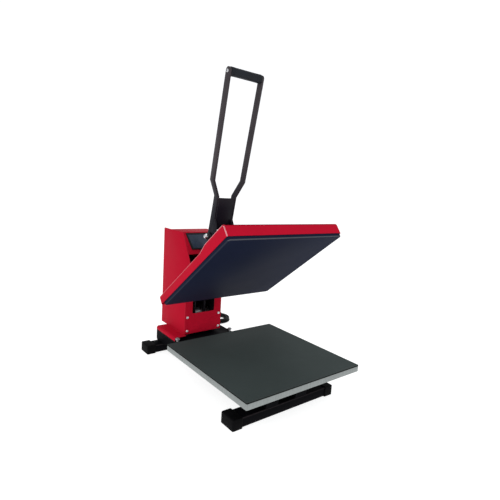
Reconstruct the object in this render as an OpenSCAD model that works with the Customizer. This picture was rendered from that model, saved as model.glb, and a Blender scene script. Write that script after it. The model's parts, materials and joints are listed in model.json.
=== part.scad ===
// Flat clamshell heat press, standing open on its two cross beams.
// Front of the press is -Y, its right side +X. The origin is on the floor,
// under the middle of the length from the platen's front edge to the column's back.

/* [Platens] */
// Width of both platens, side to side
platen_w = 380; // [320:5:420]
// Depth of both platens, front to back
platen_d = 380; // [340:5:420]
// Corner radius of the lower platen and the pad
platen_r = 3; // [2:0.5:12]
// Corner radius of the heating plate
heat_r = 8; // [4:1:14]
// Thickness of the lower aluminium plate
lower_t = 14.8; // [12:0.2:20]
// Thickness of the silicone pad
pad_t = 3.5; // [2:0.5:8]
// Thickness of the heating plate
heat_t = 12; // [9:0.5:16]
// Thickness of the heater mat on the heating plate
mat_t = 3; // [2:0.5:5]
// Gap left between pad and heating plate when shut
shut_gap = 0.5; // [0.3:0.1:3]

/* [Heater cover] */
// How far the heating plate stands below the cover
heat_proud = 9.5; // [4:0.5:11]
// Height of the cover at its raised front
cover_front_h = 32; // [28:1:40]
// Height of the cover behind the raised front
cover_rear_h = 24.5; // [20:0.5:27]
// Length of the raised front
cover_front_d = 94; // [70:2:110]
// Length of the slope down from the raised front
cover_slope_d = 32; // [10:1:45]
// How far the cover's back wall stands behind the heating plate
cover_back = 16; // [4:1:20]
// Sheet thickness of the cover
cover_t = 1.5; // [1:0.1:2.5]
// Gap between the cover's walls and the heating plate
cover_gap = 0.6; // [0.4:0.1:3]
// Bend radius along the cover's front and back top edges
cover_edge = 7; // [3:0.5:10]
// Corner radius of the cover, seen from above
cover_r = 6.5; // [4:0.5:8]

/* [Base] */
// Length of the front cross beam without its rubber feet
front_beam_w = 338; // [280:2:380]
// Length of the rear cross beam without its rubber feet
rear_beam_w = 314; // [280:2:380]
// Depth of the beams' section
beam_d = 46; // [40:1:60]
// Height of the beams' section
beam_h = 25; // [20:1:30]
// Wall of the beams and the base rails
tube_wall = 2.5; // [2:0.5:4]
// Rubber over and around a beam's end
foot_wall = 3; // [2:0.5:5]
// Rubber under a beam's end
foot_sole = 1; // [0.8:0.1:5]
// Length of a rubber foot
foot_l = 29; // [24:1:40]
// Width of each lengthwise base rail
rail_w = 40; // [30:1:44]
// Height of the lengthwise base rails
rail_h = 36; // [30:1:45]
// Middle of each base rail from the centre line
rail_x = 50; // [40:1:55]
// Front beam's middle, in front of the platen's middle
front_beam_set = 95.5; // [60:0.5:140]
// Rear beam's middle, behind the column's front
rear_beam_set = 102.5; // [80:0.5:115]

/* [Lower platen carriers] */
// Width of the flat bars under the lower platen
bar_d = 40; // [30:1:60]
// Thickness of these bars
bar_t = 8; // [6:0.5:12]
// Bars' distance from the platen's middle, front and back
bar_set = 110; // [80:5:140]
// Distance from the bars' ends to the platen's edge
bar_inset = 40; // [20:5:60]
// Platen bolts' distance from the bars' ends
spacer_edge = 20; // [14:1:40]
// Height of the spacers between bars and platen
spacer_h = 23.4; // [12:0.2:40]
// Outer diameter of the spacers
spacer_od = 20; // [16:1:30]
// Diameter of the platen and heater bolts
bolt_d = 8; // [6:1:10]

/* [Column] */
// Distance from the platen's back edge to the column
column_gap = 120; // [100:5:160]
// Depth of the column's side panels
column_d = 168; // [160:2:200]
// Width of the column
column_w = 138; // [136:1:160]
// Height of the column's top above the floor
column_top = 411; // [400:1:440]
// Thickness of the column's sheet metal
sheet_t = 2; // [1.5:0.1:2.5]
// Thickness of the plate that the column stands on
pedestal_t = 4; // [3:0.5:8]
// Width of that plate
pedestal_w = 216; // [200:2:240]
// Height of the side panels' foot flange
flange_h = 12; // [9:0.5:16]
// Gap between the foot flange and the front panel's lower edge
front_gap = 0.5; // [0.4:0.1:8]
// Height of the front panel
front_h = 208.5; // [190:0.5:220]
// Width of the notch that the arms pass through
notch_w = 83.4; // [78:0.2:96]
// Height of the notch's bottom above the front panel's lower edge
notch_lift = 67.5; // [56:0.5:70]
// Tilt of the console from the horizontal
console_tilt = 59; // [50:1:70]
// Length of the console's slope, down to its lower edge
console_l = 77; // [70:1:85]
// Setback of the console's top edge from the column's front
console_set = 35; // [28:1:45]
// Length of the side panels' slanted edge
cheek_edge_l = 110; // [95:1:114]
// Setback of the rear cover from the side panels' back edges
rear_inset = 35; // [25:1:45]

/* [Controller] */
// Width of the controller's frame at its top
bezel_top_w = 122; // [110:1:128]
// Width of the controller's frame at its bottom
bezel_low_w = 104; // [90:1:110]
// Height of the frame along the slope
bezel_h = 58; // [50:1:62]
// Width of the frame's border
bezel_rim = 5; // [3:0.5:8]
// How far the frame stands out
bezel_t = 3.2; // [2.5:0.1:5]
// Distance from the console's top edge to the frame
bezel_drop = 4; // [3:0.5:8]

/* [Hinge and arms] */
// Angle of the open press
open_angle = 37.5; // [30:0.5:37.5]
// Hinge shaft's distance behind the column's front
hinge_set = 49; // [44:1:55]
// Hinge shaft's height above the pad
hinge_rise = 19.8; // [16:0.2:24]
// Diameter of the hinge shaft
shaft_d = 20; // [16:1:24]
// Running clearance of a shaft in its bush, on the radius
run_gap = 0.05; // [0.02:0.01:0.08]
// Outer diameter of the hinge bush
hinge_bush_od = 30; // [27:1:36]
// Inner faces of the two arm plates, from the centre line
arm_x = 16; // [15:0.5:19]
// Thickness of an arm plate
arm_t = 6; // [5:0.5:7]
// Inner faces of the two column cheeks, from the centre line
cheek_x = 48; // [46:0.5:52]
// Thickness of a column cheek
cheek_t = 6; // [5:0.5:8]
// Handle pivot in front of the hinge, press shut
pivot_back = 264.7; // [250:0.1:280]
// Handle pivot above the hinge, press shut
pivot_up = 149.2; // [140:0.1:160]
// Diameter of the handle's pivot bolt
pivot_d = 12; // [10:1:14]
// Thickness of the plate between arms and heater cover
foot_plate_t = 8; // [6:0.5:12]

/* [Handle] */
// Forward lean of the open handle
handle_lean = 11.3; // [8:0.1:14]
// Distance from the pivot to the grip's axis
handle_l = 471; // [400:1:500]
// Height of the handle plate's top above the pivot
plate_top = 123; // [110:0.5:135]
// Thickness of the handle plate
plate_t = 4; // [3:0.5:5]
// How far the handle plate lies behind the bars' front edges
plate_set = 0.7; // [0:0.1:4]
// Height of the bars' upper bend above the pivot
bend_z = 174; // [165:1:190]
// Middle of each bar at the upper bend
bend_x = 53.8; // [48:0.1:56]
// Middle of each bar at the grip
grip_x = 55.9; // [54:0.1:62]
// Thickness of a flat bar
bar_w = 6.5; // [4:0.5:8]
// Depth of a flat bar, front to back
bar_thick = 21; // [14:0.5:24]
// Middle of the bars' depth, behind the handle's pivot
bar_mid = 0.8; // [-2:0.1:4]
// Diameter of the grip
grip_d = 25; // [22:0.5:32]
// How much the handle turns on the arm for each degree of arm
handle_ratio = 1; // [0.9:0.05:1.1]

/* [Linkage] */
// Fixed link pivot in front of the hinge
anchor_front = 14.3; // [10:0.1:18]
// Fixed link pivot above the hinge
anchor_up = 53.5; // [50:0.5:60]
// Link pin in front of the handle's pivot, in the handle's own frame
lug_front = 31; // [28:0.5:34]
// Link pin below the handle's pivot, in the handle's own frame
lug_down = 39; // [36:0.5:42]
// Gap between arm, link and handle plate
link_gap = 0.65; // [0.4:0.05:1.5]
// Thickness of a link
link_t = 4.5; // [4:0.5:5]
// Width of a link
link_w = 24; // [20:1:26]
// Diameter of the link pins
link_pin_d = 10; // [8:0.5:11]
// Room around the link pin at the open end of the linkage
lug_room = 3.6; // [3.4:0.1:4]

/* [Pressure screw] */
// Diameter of the pressure screw
screw_d = 16; // [12:1:18]
// Diameter of the pressure knob
knob_d = 66; // [50:1:70]
// Height of the knob
knob_h = 24; // [18:1:26]

/* [Hidden] */
$fn = 48;
black = [0.09, 0.09, 0.11];
red = [0.68, 0.09, 0.15];
dark = [0.16, 0.18, 0.2];
steel = [0.72, 0.73, 0.75];
rubber = [0.06, 0.06, 0.07];
// Small overlap that joins shapes of one piece
joined = 0.5;
// Reach of a cut past the face that it opens
past = 1;

// Places along the press, from the origin in the middle of its length
total_d = platen_d + column_gap + column_d;
platen_y = platen_d / 2 - total_d / 2;
column_y = platen_y + platen_d / 2 + column_gap;
column_back = column_y + column_d;
front_beam_y = platen_y - front_beam_set;
rear_beam_y = column_y + rear_beam_set;

// Heights, stacked from the floor
beam_z = foot_sole;
rail_z = beam_z + beam_h;
rail_top = rail_z + rail_h;
bar_top = rail_top + bar_t;
lower_z = bar_top + spacer_h;
pad_z = lower_z + lower_t;
pad_top = pad_z + pad_t;
pedestal_top = rail_top + pedestal_t;
panel_z = pedestal_top + flange_h - sheet_t;
front_z = pedestal_top + flange_h + front_gap;
front_top = front_z + front_h;
hinge_y = column_y + hinge_set;
hinge_z = pad_top + hinge_rise;

// Heater, in the arms' frame: the hinge is at the origin, the press is shut
reach = hinge_y - platen_y;
heat_low = shut_gap - hinge_rise;
heat_top = heat_low + heat_t;
cover_low = heat_low + heat_proud;
cover_mid_top = cover_low + cover_rear_h;
cover_high_top = cover_low + cover_front_h;
cover_side_x = platen_w / 2 + cover_gap + cover_t;
cover_front_y = -platen_d / 2 - cover_gap - cover_t;
cover_back_y = platen_d / 2 + cover_back;
foot_plate_top = cover_mid_top + foot_plate_t;
spacer_x = platen_w / 2 - bar_inset - spacer_edge;
foot_plate_gap = 8;
foot_plate_front = cover_front_y + cover_front_d + cover_slope_d + foot_plate_gap - reach;
foot_plate_rear_set = 60;
foot_plate_back = platen_d / 2 - foot_plate_rear_set - reach;
foot_plate_w = 130;
stud_x = 45;
stud_inset = 20;
nut_h = 6.5;
nut_af = 13;
washer_t = 1.6;

// Sections shared by several pieces
panel_x = column_w / 2 - sheet_t;
tab_d = 15;
rear_y = column_back - rear_inset;
slope = [cos(console_tilt), sin(console_tilt)];
console_top = [column_y + console_set, column_top];
knee = console_top - cheek_edge_l * slope;
screw_edge = 9.5;
screw_low = 10.2;
screw_apart = 46;
screw_r = 2;
screw_l = 10;
screw_head = [4.6, 3];
front_screw_x = column_w / 2 - screw_edge;
front_screw_z = [front_z + screw_low, front_z + screw_low + screw_apart];
pedestal_front = 24;
pedestal_back = 123;
pedestal_y0 = column_y - pedestal_front;
pedestal_y1 = column_y + pedestal_back;
left_flange_front = 9;
right_flange_set = 60;
flange_y0 = column_y - left_flange_front;
right_flange_y0 = column_y + right_flange_set;
bolt_front = 14;
bolt_edge = 8;
bolt_y = column_y - bolt_front;
bolt_x = pedestal_w / 2 - bolt_edge;
arm_out = arm_x + arm_t;
link_x = arm_out + link_gap;
link_out = link_x + link_t;
eye_r = shaft_d / 2 + 14;
pivot = [-pivot_back, pivot_up];
pivot_eye_r = pivot_d / 2 + 14;
tail = [48, 30];
tail_rod_d = 10;
tail_r = tail_rod_d / 2 + 9;
handle_bush_od = pivot_d + 8;
plate_in = link_out + link_gap;
plate_w = 2 * (plate_in + bar_w);
lug = [-lug_front, -lug_down];
lug_r = link_pin_d / 2 + 9;

// Linkage in the plane across the hinge, open end first
function turn(v, a) = [v[0] * cos(a) - v[1] * sin(a), v[0] * sin(a) + v[1] * cos(a)];
function angle_of(v) = atan2(v[1], v[0]);
function pivot_at(t) = turn(pivot, -open_angle * (1 - t));
function lug_at(t) = pivot_at(t) + turn(lug, handle_lean + open_angle * (1 + handle_ratio) * t);
anchor = [-anchor_front, anchor_up];
link_ends = [for (t = [0, 0.5, 1]) lug_at(t) - anchor];
link_turn = angle_of(link_ends[2]) - angle_of(link_ends[0]);
link_bow = angle_of(link_ends[1]) - angle_of(link_ends[0]) - link_turn / 2;
link_angle = angle_of(link_ends[0]) + link_bow / 2;
link_l = (norm(link_ends[0]) + norm(link_ends[2]) + 2 * norm(link_ends[1])) / 4;
echo(str("link turns ", link_turn / open_angle, " for each degree of arm, link length ", link_l));

// Outlines: a sheet of thickness t on the left of a path
function unit(v) = v / norm(v);
function left_of(v) = [-v[1], v[0]];
function leg(p, i) = left_of(unit(p[i + 1] - p[i]));
function mitre(p, i) =
    let (a = leg(p, max(i - 1, 0)), b = leg(p, min(i, len(p) - 2)))
    (a + b) / (1 + a * b);
function sheet(p, t) = concat(p, [for (i = [len(p) - 1 : -1 : 0]) p[i] + t * mitre(p, i)]);
function arc(c, r, a0, a1, n = 8) = [for (i = [0 : n])
    let (a = a0 + (a1 - a0) * i / n) c + r * [cos(a), sin(a)]];

// Solids shared by several pieces
module box(lo, hi) { translate(lo) cube(hi - lo); }
module rod_x(r, x0, x1) { translate([x0, 0, 0]) rotate([0, 90, 0]) cylinder(r = r, h = x1 - x0); }
module plate_x(x0, x1) { translate([x0, 0, 0]) rotate([90, 0, 90]) linear_extrude(x1 - x0) children(); }
module plate_y(y0, y1) { translate([0, y1, 0]) rotate([90, 0, 0]) linear_extrude(y1 - y0) children(); }
module mirrored() { children(); mirror([1, 0, 0]) children(); }
module rounded(w, d, r) {
    square([w - 2 * r, d], center = true);
    square([w, d - 2 * r], center = true);
    for (sx = [-1, 1], sy = [-1, 1]) translate([sx * (w / 2 - r), sy * (d / 2 - r)]) circle(r);
}
module slab(w, d, r, z0, z1) { translate([0, 0, z0]) linear_extrude(z1 - z0) rounded(w, d, r); }
module hex(af, h) { cylinder(r = af / sqrt(3), h = h, $fn = 6); }
module tube(od, id, h) {
    difference() {
        cylinder(d = od, h = h);
        translate([0, 0, -past]) cylinder(d = id, h = h + 2 * past);
    }
}
module hollow_bar(lo, hi, wall, open_lo, open_hi) {
    difference() {
        box(lo, hi);
        box(lo + wall * [1, 1, 1] - open_lo * (wall + past), hi - wall * [1, 1, 1] + open_hi * (wall + past));
    }
}

// Frames that moving pieces are drawn in
module in_platen() { translate([0, platen_y, 0]) children(); }
module in_arm() { translate([0, hinge_y, hinge_z]) rotate([-open_angle, 0, 0]) children(); }
module in_heater() { in_arm() translate([0, -reach, 0]) children(); }
module in_handle() {
    in_arm() translate([0, pivot[0], pivot[1]]) rotate([handle_lean + open_angle, 0, 0]) children();
}
module in_link() {
    translate([0, hinge_y + anchor[0], hinge_z + anchor[1]]) rotate([link_angle, 0, 0]) children();
}
module in_console() {
    translate([0, console_top[0], console_top[1]]) rotate([console_tilt, 0, 0]) children();
}

// Base: two cross beams in rubber feet, two rails, and what stands on them
module beam(w, y) {
    color(black) translate([0, y, beam_z])
        hollow_bar([-w / 2, -beam_d / 2, 0], [w / 2, beam_d / 2, beam_h], tube_wall, [1, 0, 0], [1, 0, 0]);
}
module front_beam() { beam(front_beam_w, front_beam_y); }
module rear_beam() { beam(rear_beam_w, rear_beam_y); }

// A foot is a rubber boot pulled over a beam's end
foot_edge = 2;
foot_lip = 1.2;
module foot(side, w, y) {
    end = w / 2 + foot_wall;
    inner = end - foot_l;
    half_d = beam_d / 2 + foot_wall;
    top = beam_z + beam_h + foot_wall;
    color(rubber) translate([0, y, 0]) mirror([side < 0 ? 1 : 0, 0, 0]) difference() {
        intersection() {
            linear_extrude(top) polygon([
                [inner, foot_lip - half_d], [inner + foot_lip, -half_d], [end - foot_edge, -half_d],
                [end, foot_edge - half_d], [end, half_d - foot_edge], [end - foot_edge, half_d],
                [inner + foot_lip, half_d], [inner, half_d - foot_lip]]);
            plate_y(-half_d, half_d) polygon([
                [inner, 0], [end, 0], [end, top - foot_edge], [end - foot_edge, top],
                [inner + foot_lip, top], [inner, top - foot_lip]]);
        }
        box([inner - past, -beam_d / 2, beam_z], [w / 2, beam_d / 2, beam_z + beam_h]);
    }
}
module foot_front_left() { foot(-1, front_beam_w, front_beam_y); }
module foot_front_right() { foot(1, front_beam_w, front_beam_y); }
module foot_rear_left() { foot(-1, rear_beam_w, rear_beam_y); }
module foot_rear_right() { foot(1, rear_beam_w, rear_beam_y); }

// Box rail, closed at the front where it shows and open at the back
module base_rail(side) {
    color(black) translate([side * rail_x, 0, rail_z])
        hollow_bar([-rail_w / 2, front_beam_y - beam_d / 2, 0], [rail_w / 2, pedestal_y1, rail_h],
            tube_wall, [0, 0, 0], [0, 1, 0]);
}
module base_rail_left() { base_rail(-1); }
module base_rail_right() { base_rail(1); }

spring_seat_h = 6;
spring_seat_d = 34;
tail_open = turn(tail, -open_angle);
spring_y = hinge_y + tail_open[0];
module pedestal_plate() {
    color(black) difference() {
        union() {
            box([-pedestal_w / 2, pedestal_y0, rail_top], [pedestal_w / 2, pedestal_y1, pedestal_top]);
            translate([0, spring_y, pedestal_top - joined])
                cylinder(d = spring_seat_d, h = spring_seat_h + joined);
        }
        for (s = [-1, 1]) translate([s * bolt_x, bolt_y, rail_top - past])
            cylinder(d = bolt_d, h = pedestal_t + 2 * past);
    }
}
// Gusset plates that carry the pedestal's overhang down to the rear beam
gusset_t = 16;
gusset_r = 14;
gusset_lip = 10;
bolt_hole_l = 9;
bolt_l = 8;
module pedestal_sides() {
    color(black) mirrored() difference() {
        plate_x(pedestal_w / 2 - gusset_t, pedestal_w / 2) polygon(concat(
            [[pedestal_y0, rail_top], [pedestal_y0, rail_top - gusset_lip], [rear_beam_y - beam_d / 2, rail_z]],
            arc([pedestal_y1 - gusset_r, rail_z + gusset_r], gusset_r, 270, 360), [[pedestal_y1, rail_top]]));
        translate([bolt_x, bolt_y, rail_top - bolt_hole_l]) cylinder(d = bolt_d, h = bolt_hole_l + past);
    }
}
module pedestal_bolts() {
    color(steel) for (s = [-1, 1]) translate([s * bolt_x, bolt_y, 0]) {
        translate([0, 0, pedestal_top]) hex(nut_af, nut_h - 1);
        translate([0, 0, rail_top - bolt_l]) cylinder(d = bolt_d, h = pedestal_t + bolt_l + joined);
    }
}

// Lower platen on two flat bars, with spacers and bolts from below
module at_platen_bolts() {
    in_platen() for (sx = [-1, 1], sy = [-1, 1]) translate([sx * spacer_x, sy * bar_set, 0]) children();
}
module platen_bar(side) {
    color(black) difference() {
        in_platen() translate([0, side * bar_set, 0])
            box([bar_inset - platen_w / 2, -bar_d / 2, rail_top], [platen_w / 2 - bar_inset, bar_d / 2, bar_top]);
        at_platen_bolts() translate([0, 0, rail_top - past]) cylinder(d = bolt_d, h = bar_t + 2 * past);
    }
}
module platen_bar_front() { platen_bar(-1); }
module platen_bar_rear() { platen_bar(1); }
module platen_spacers() {
    color(steel) at_platen_bolts() translate([0, 0, bar_top]) tube(spacer_od, bolt_d, spacer_h);
}
bolt_in = 10;
module platen_bolts() {
    color(steel) at_platen_bolts() {
        translate([0, 0, rail_top - nut_h]) hex(nut_af, nut_h);
        translate([0, 0, rail_top - joined]) cylinder(d = bolt_d, h = lower_z + bolt_in - rail_top + joined);
    }
}
module lower_platen() {
    color(steel) difference() {
        in_platen() slab(platen_w, platen_d, platen_r, lower_z, pad_z);
        at_platen_bolts() translate([0, 0, lower_z - past]) cylinder(d = bolt_d, h = bolt_in + past);
    }
}
module silicone_pad() { color(dark) in_platen() slab(platen_w, platen_d, platen_r, pad_z, pad_top); }

// Column: two side panels with foot flanges, front panel, folded cover and rear cover
module side_panel(flange_y, corner) {
    lip_r = 6;
    out = pedestal_w / 2;
    flange = concat(
        [[panel_x, panel_z + sheet_t]],
        arc([out - lip_r, panel_z + sheet_t - lip_r], lip_r, 90, 0),
        [[out, pedestal_top]]);
    plate_x(panel_x, column_w / 2) polygon([
        [column_y + sheet_t, panel_z], [column_back, panel_z], [column_back, column_top - corner[1]],
        [column_back - corner[0], column_top], console_top, knee, [column_y + sheet_t, front_top]]);
    plate_y(flange_y, pedestal_y1) polygon(sheet(flange, -sheet_t));
    difference() {
        box([panel_x - tab_d, column_y + sheet_t, front_z], [panel_x + joined, column_y + 2 * sheet_t, front_top]);
        for (z = front_screw_z) translate([front_screw_x, column_y + 3 * sheet_t, z])
            rotate([90, 0, 0]) cylinder(r = screw_r, h = 3 * sheet_t);
    }
}
module column_left_panel() { color(red) mirror([1, 0, 0]) side_panel(flange_y0, [2, 2]); }
right_corner = 20;
module column_right_panel() { color(red) side_panel(right_flange_y0, [rear_inset + cover_bend, right_corner]); }
notch_r = 5;
module column_front_panel() {
    color(red) difference() {
        plate_y(column_y, column_y + sheet_t) difference() {
            translate([-column_w / 2, front_z]) square([column_w, front_h]);
            translate([0, front_z + notch_lift]) {
                translate([-notch_w / 2, notch_r]) square([notch_w, front_h]);
                translate([-notch_w / 2 + notch_r, 0]) square([notch_w - 2 * notch_r, front_h]);
                for (s = [-1, 1]) translate([s * (notch_w / 2 - notch_r), notch_r]) circle(notch_r);
            }
        }
        for (s = [-1, 1], z = front_screw_z) translate([s * front_screw_x, column_y + sheet_t + past, z])
            rotate([90, 0, 0]) cylinder(r = screw_r, h = sheet_t + 2 * past);
    }
}
module panel_screws() {
    color(steel) for (s = [-1, 1], z = front_screw_z)
        translate([s * front_screw_x, column_y, z]) rotate([90, 0, 0]) {
            translate([0, 0, -screw_l]) cylinder(r = screw_r, h = screw_l + joined);
            rotate_extrude() polygon([[0, 0], [screw_head[0], 0], [0.92 * screw_head[0], 0.47 * screw_head[1]],
                [0.57 * screw_head[0], 0.87 * screw_head[1]], [0, screw_head[1]]]);
        }
}
cover_bend = 15;
cover_drop = 24;
module console_cover() {
    low = console_top - console_l * slope;
    path = concat([low, console_top],
        arc([rear_y - cover_bend, column_top - cover_bend], cover_bend, 90, 0),
        [[rear_y, column_top - cover_bend - cover_drop]]);
    color(red) plate_x(-panel_x, panel_x) polygon(sheet(path, -sheet_t));
}
switch_w = 22;
switch_h = 30;
switch_x = -34;
switch_lift = 108.5;
switch_z = front_z + switch_lift;
gland_x = 40;
gland_z = 104;
vent_w = 70;
vent_h = 5;
vent_lift = 153.5;
vent_step = 14;
module rear_cover() {
    color(red) difference() {
        box([-panel_x, rear_y - sheet_t, panel_z], [panel_x, rear_y, column_top - cover_bend - cover_drop]);
        for (i = [0 : 5]) translate([-vent_w / 2, rear_y - sheet_t - past, front_z + vent_lift + vent_step * i])
            cube([vent_w, sheet_t + 2 * past, vent_h]);
        box([switch_x - switch_w / 2, rear_y - sheet_t - past, switch_z - switch_h / 2],
            [switch_x + switch_w / 2, rear_y + past, switch_z + switch_h / 2]);
    }
}
module trapezoid(inset) {
    top = -bezel_drop - inset;
    low = -bezel_drop - bezel_h + inset;
    polygon([[-bezel_low_w / 2 + inset, low], [bezel_low_w / 2 - inset, low],
        [bezel_top_w / 2 - inset, top], [-bezel_top_w / 2 + inset, top]]);
}
module controller_bezel() {
    color(rubber) in_console() difference() {
        union() {
            linear_extrude(bezel_t - 1) trapezoid(0);
            translate([0, 0, bezel_t - 1 - joined]) linear_extrude(1 + joined) trapezoid(0.8);
        }
        translate([0, 0, -past]) linear_extrude(bezel_t + 2 * past) trapezoid(bezel_rim);
    }
}
module controller_screen() {
    color(dark) in_console() linear_extrude(bezel_t - 1.2) trapezoid(bezel_rim);
}
board_gap = 10;
board = [100, 56, 1.6];
board_post_d = 6;
module controller_board() {
    middle = -bezel_drop - bezel_h / 2;
    color("darkgreen") in_console() translate([0, middle, -sheet_t - board_gap]) {
        translate([-board[0] / 2, -board[1] / 2, -board[2]]) cube(board);
        for (sx = [-1, 1], sy = [-1, 1])
            translate([sx * (board[0] / 2 - board_post_d), sy * (board[1] / 2 - board_post_d), -joined])
                cylinder(d = board_post_d, h = board_gap + joined);
    }
}

// Steel cheeks inside the column carry the hinge shaft and the links' anchor pins
module at_hinge() { translate([0, hinge_y, hinge_z]) children(); }
module at_anchor() { translate([0, hinge_y + anchor[0], hinge_z + anchor[1]]) children(); }
module cheek() {
    y0 = column_y + 12;
    y1 = rear_y - sheet_t - 4;
    top = hinge_z + anchor_up + 28;
    color(black) difference() {
        plate_x(cheek_x, cheek_x + cheek_t) polygon([
            [y0, pedestal_top], [y1, pedestal_top], [y1, pedestal_top + 40], [hinge_y + 34, top - 20],
            [hinge_y + 20, top], [y0 + 8, top], [y0, top - 8]]);
        at_hinge() rod_x(shaft_d / 2, cheek_x - past, cheek_x + cheek_t + past);
        at_anchor() rod_x(pivot_d / 2, cheek_x - past, cheek_x + cheek_t + past);
    }
}
module cheek_left() { mirror([1, 0, 0]) cheek(); }
module cheek_right() { cheek(); }
shaft_half = cheek_x + cheek_t;
module hinge_shaft() { color(steel) at_hinge() rod_x(shaft_d / 2, -shaft_half, shaft_half); }
module shaft_end_bolts() {
    color(steel) mirrored() at_hinge() {
        rod_x(shaft_d / 2 + 5, shaft_half, shaft_half + 2);
        translate([shaft_half + 2 - joined, 0, 0]) rotate([0, 90, 0]) hex(17, 7 + joined);
    }
}
module link_anchor_pins() {
    color(steel) mirrored() at_anchor() {
        rod_x(pivot_d / 2, link_x, cheek_x + cheek_t);
        rod_x(pivot_d / 2 + 4, link_out + link_gap, cheek_x);
    }
}
relay = [44, 27, 58];
relay_lift = 171.5;
relay_z = front_z + relay_lift;
module power_relay() {
    y1 = rear_y - sheet_t;
    color(dark) {
        box([-relay[0] / 2, y1 - 4, relay_z - 8], [relay[0] / 2, y1, relay_z + relay[2] + 8]);
        box([-relay[0] / 2 + 2, y1 - relay[1], relay_z], [relay[0] / 2 - 2, y1 - 4 + joined, relay_z + relay[2]]);
        for (x = [-12, 12], z = [6, relay[2] - 6]) translate([x, y1 - relay[1] + joined, relay_z + z])
            rotate([90, 0, 0]) cylinder(d = 8, h = 3 + joined);
    }
}

// Tubes swept along points, and the least gap that such a tube keeps to itself
function cross_unit(a, b) = unit(cross(a, b));
function tangent(p, i) = unit(p[min(i + 1, len(p) - 1)] - p[max(i - 1, 0)]);
function frames(p, ref) = [for (i = [0 : len(p) - 1])
    let (t = tangent(p, i), n = cross_unit(ref[i], t)) [n, cross(t, n)]];
function rings(p, r, sides, f) = [for (i = [0 : len(p) - 1], k = [0 : sides - 1])
    p[i] + r * (cos(360 * k / sides) * f[i][0] + sin(360 * k / sides) * f[i][1])];
function walls(n, sides) = [for (i = [0 : n - 2], k = [0 : sides - 1], h = [0, 1])
    let (a = i * sides + k, b = i * sides + (k + 1) % sides)
    h == 0 ? [a, b, b + sides] : [a, b + sides, a + sides]];
function end_cap(start, sides, flip) = [for (k = [1 : sides - 2])
    flip ? [start, start + k + 1, start + k] : [start, start + k, start + k + 1]];
module swept(p, r, sides, ref) {
    n = len(p);
    polyhedron(
        points = rings(p, r, sides, frames(p, ref)),
        faces = concat([for (f = walls(n, sides)) [f[0], f[2], f[1]]], end_cap(0, sides, false),
            end_cap((n - 1) * sides, sides, true)));
}
function same_ref(p, v) = [for (q = p) v];
function least_gap(p, skip, d) = min([for (i = [0 : len(p) - 1 - skip]) min([for (j = [i + skip : len(p) - 1])
    norm(p[i] - p[j])])]) - d;

// Lift spring: close turns between the seat on the pedestal and the arms' tail rod
spring_wire = 4;
spring_r = 11;
spring_turns = 7;
spring_low = pedestal_top + spring_seat_h;
spring_top = hinge_z + tail_open[1] - tail_rod_d / 2 - 0.3;
spring_lead = 1.5 * spring_wire;
function spring_point(a, z) = [spring_r * cos(a), spring_y + spring_r * sin(a), z];
spring_path = let (n = 8 * spring_turns, z0 = spring_low + spring_lead, z1 = spring_top - spring_lead)
    concat(
        [spring_point(0, spring_low), spring_point(0, spring_low + spring_wire)],
        [for (i = [1 : n - 1]) spring_point(360 * spring_turns * i / n, z0 + (z1 - z0) * i / n)],
        [spring_point(0, spring_top - spring_wire), spring_point(0, spring_top)]);
spring_ref = [for (q = spring_path) unit([q[0], q[1] - spring_y, 0])];
echo(str("lift spring, least gap ", least_gap(spring_path, 5, spring_wire)));
module lift_spring() { color(steel) swept(spring_path, spring_wire / 2, 6, spring_ref); }

// Power switch: frame in the rear cover and a rocker that tilts in it
rocker_gap = 0.5;
switch_rim = 2;
rocker_tilt = 8;
switch_body = 18;
module switch_frame() {
    color(rubber) translate([switch_x, rear_y, switch_z]) difference() {
        union() {
            box([-switch_w / 2 - switch_rim, 0, -switch_h / 2 - switch_rim],
                [switch_w / 2 + switch_rim, switch_rim, switch_h / 2 + switch_rim]);
            box([-switch_w / 2, -switch_body, -switch_h / 2], [switch_w / 2, joined, switch_h / 2]);
        }
        box([-switch_w / 2 + switch_rim, -switch_body + switch_rim, -switch_h / 2 + switch_rim],
            [switch_w / 2 - switch_rim, switch_rim + past, switch_h / 2 - switch_rim]);
        translate([0, -rocker_set, 0])
            rod_x(trunnion_r + run_gap, trunnion_gap - switch_w / 2, switch_w / 2 - trunnion_gap);
    }
}
rocker_set = 3;
trunnion_r = 1.6;
trunnion_gap = 0.6;
rocker_half = switch_h / 2 - switch_rim - rocker_gap;
rocker_depth = 6;
module power_rocker() {
    side = switch_w / 2 - switch_rim - rocker_gap;
    pin = switch_w / 2 - trunnion_gap - 0.3;
    color("darkred") translate([switch_x, rear_y - rocker_set, switch_z]) rotate([rocker_tilt, 0, 0]) {
        plate_x(-side, side) polygon([
            [4.4, 0], [6.4, rocker_half - 1.6], [2, rocker_half - 0.6], [-rocker_depth, 4],
            [-rocker_depth, -4], [2, 0.6 - rocker_half], [6.4, 1.6 - rocker_half]]);
        rod_x(trunnion_r, -pin, pin);
    }
}

// Mains lead: strain relief, run along the floor, coil, tie and plug
cord_d = 7.5;
cord_r = cord_d / 2;
gland_l = 27;
cord_y = rear_y + gland_l;
coil_c = [236, cord_y + 110];
coil_r0 = 50;
coil_step = 8.3;
coil_turns = 2;
coil_z = 5;
layer_h = 8.2;
straight = 8;
lead_route = [
    [40, 0, 104], [40, 10, 104], [40, 27, 100], [40, 41, 89], [40, 50, 73], [40, 53, 55],
    [41, 55, 38], [46, 57, 22], [57, 59, 11], [74, 60, 6], [94, 60, 5], [120, 60, 5],
    [150, 60, 5], [180, 60, 5], [210, 60, 5], [228, 60, 5]];
lead_points = [for (q = lead_route) q + [0, cord_y, 0]];
module cord_gland() {
    color(rubber) translate([gland_x, rear_y, gland_z]) rotate([-90, 0, 0]) rotate_extrude() polygon([
        [0, 0], [11, 0], [11, 4], [8, 5], [cord_r + 1.2, gland_l - 1], [cord_r, gland_l], [0, gland_l]]);
}
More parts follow.
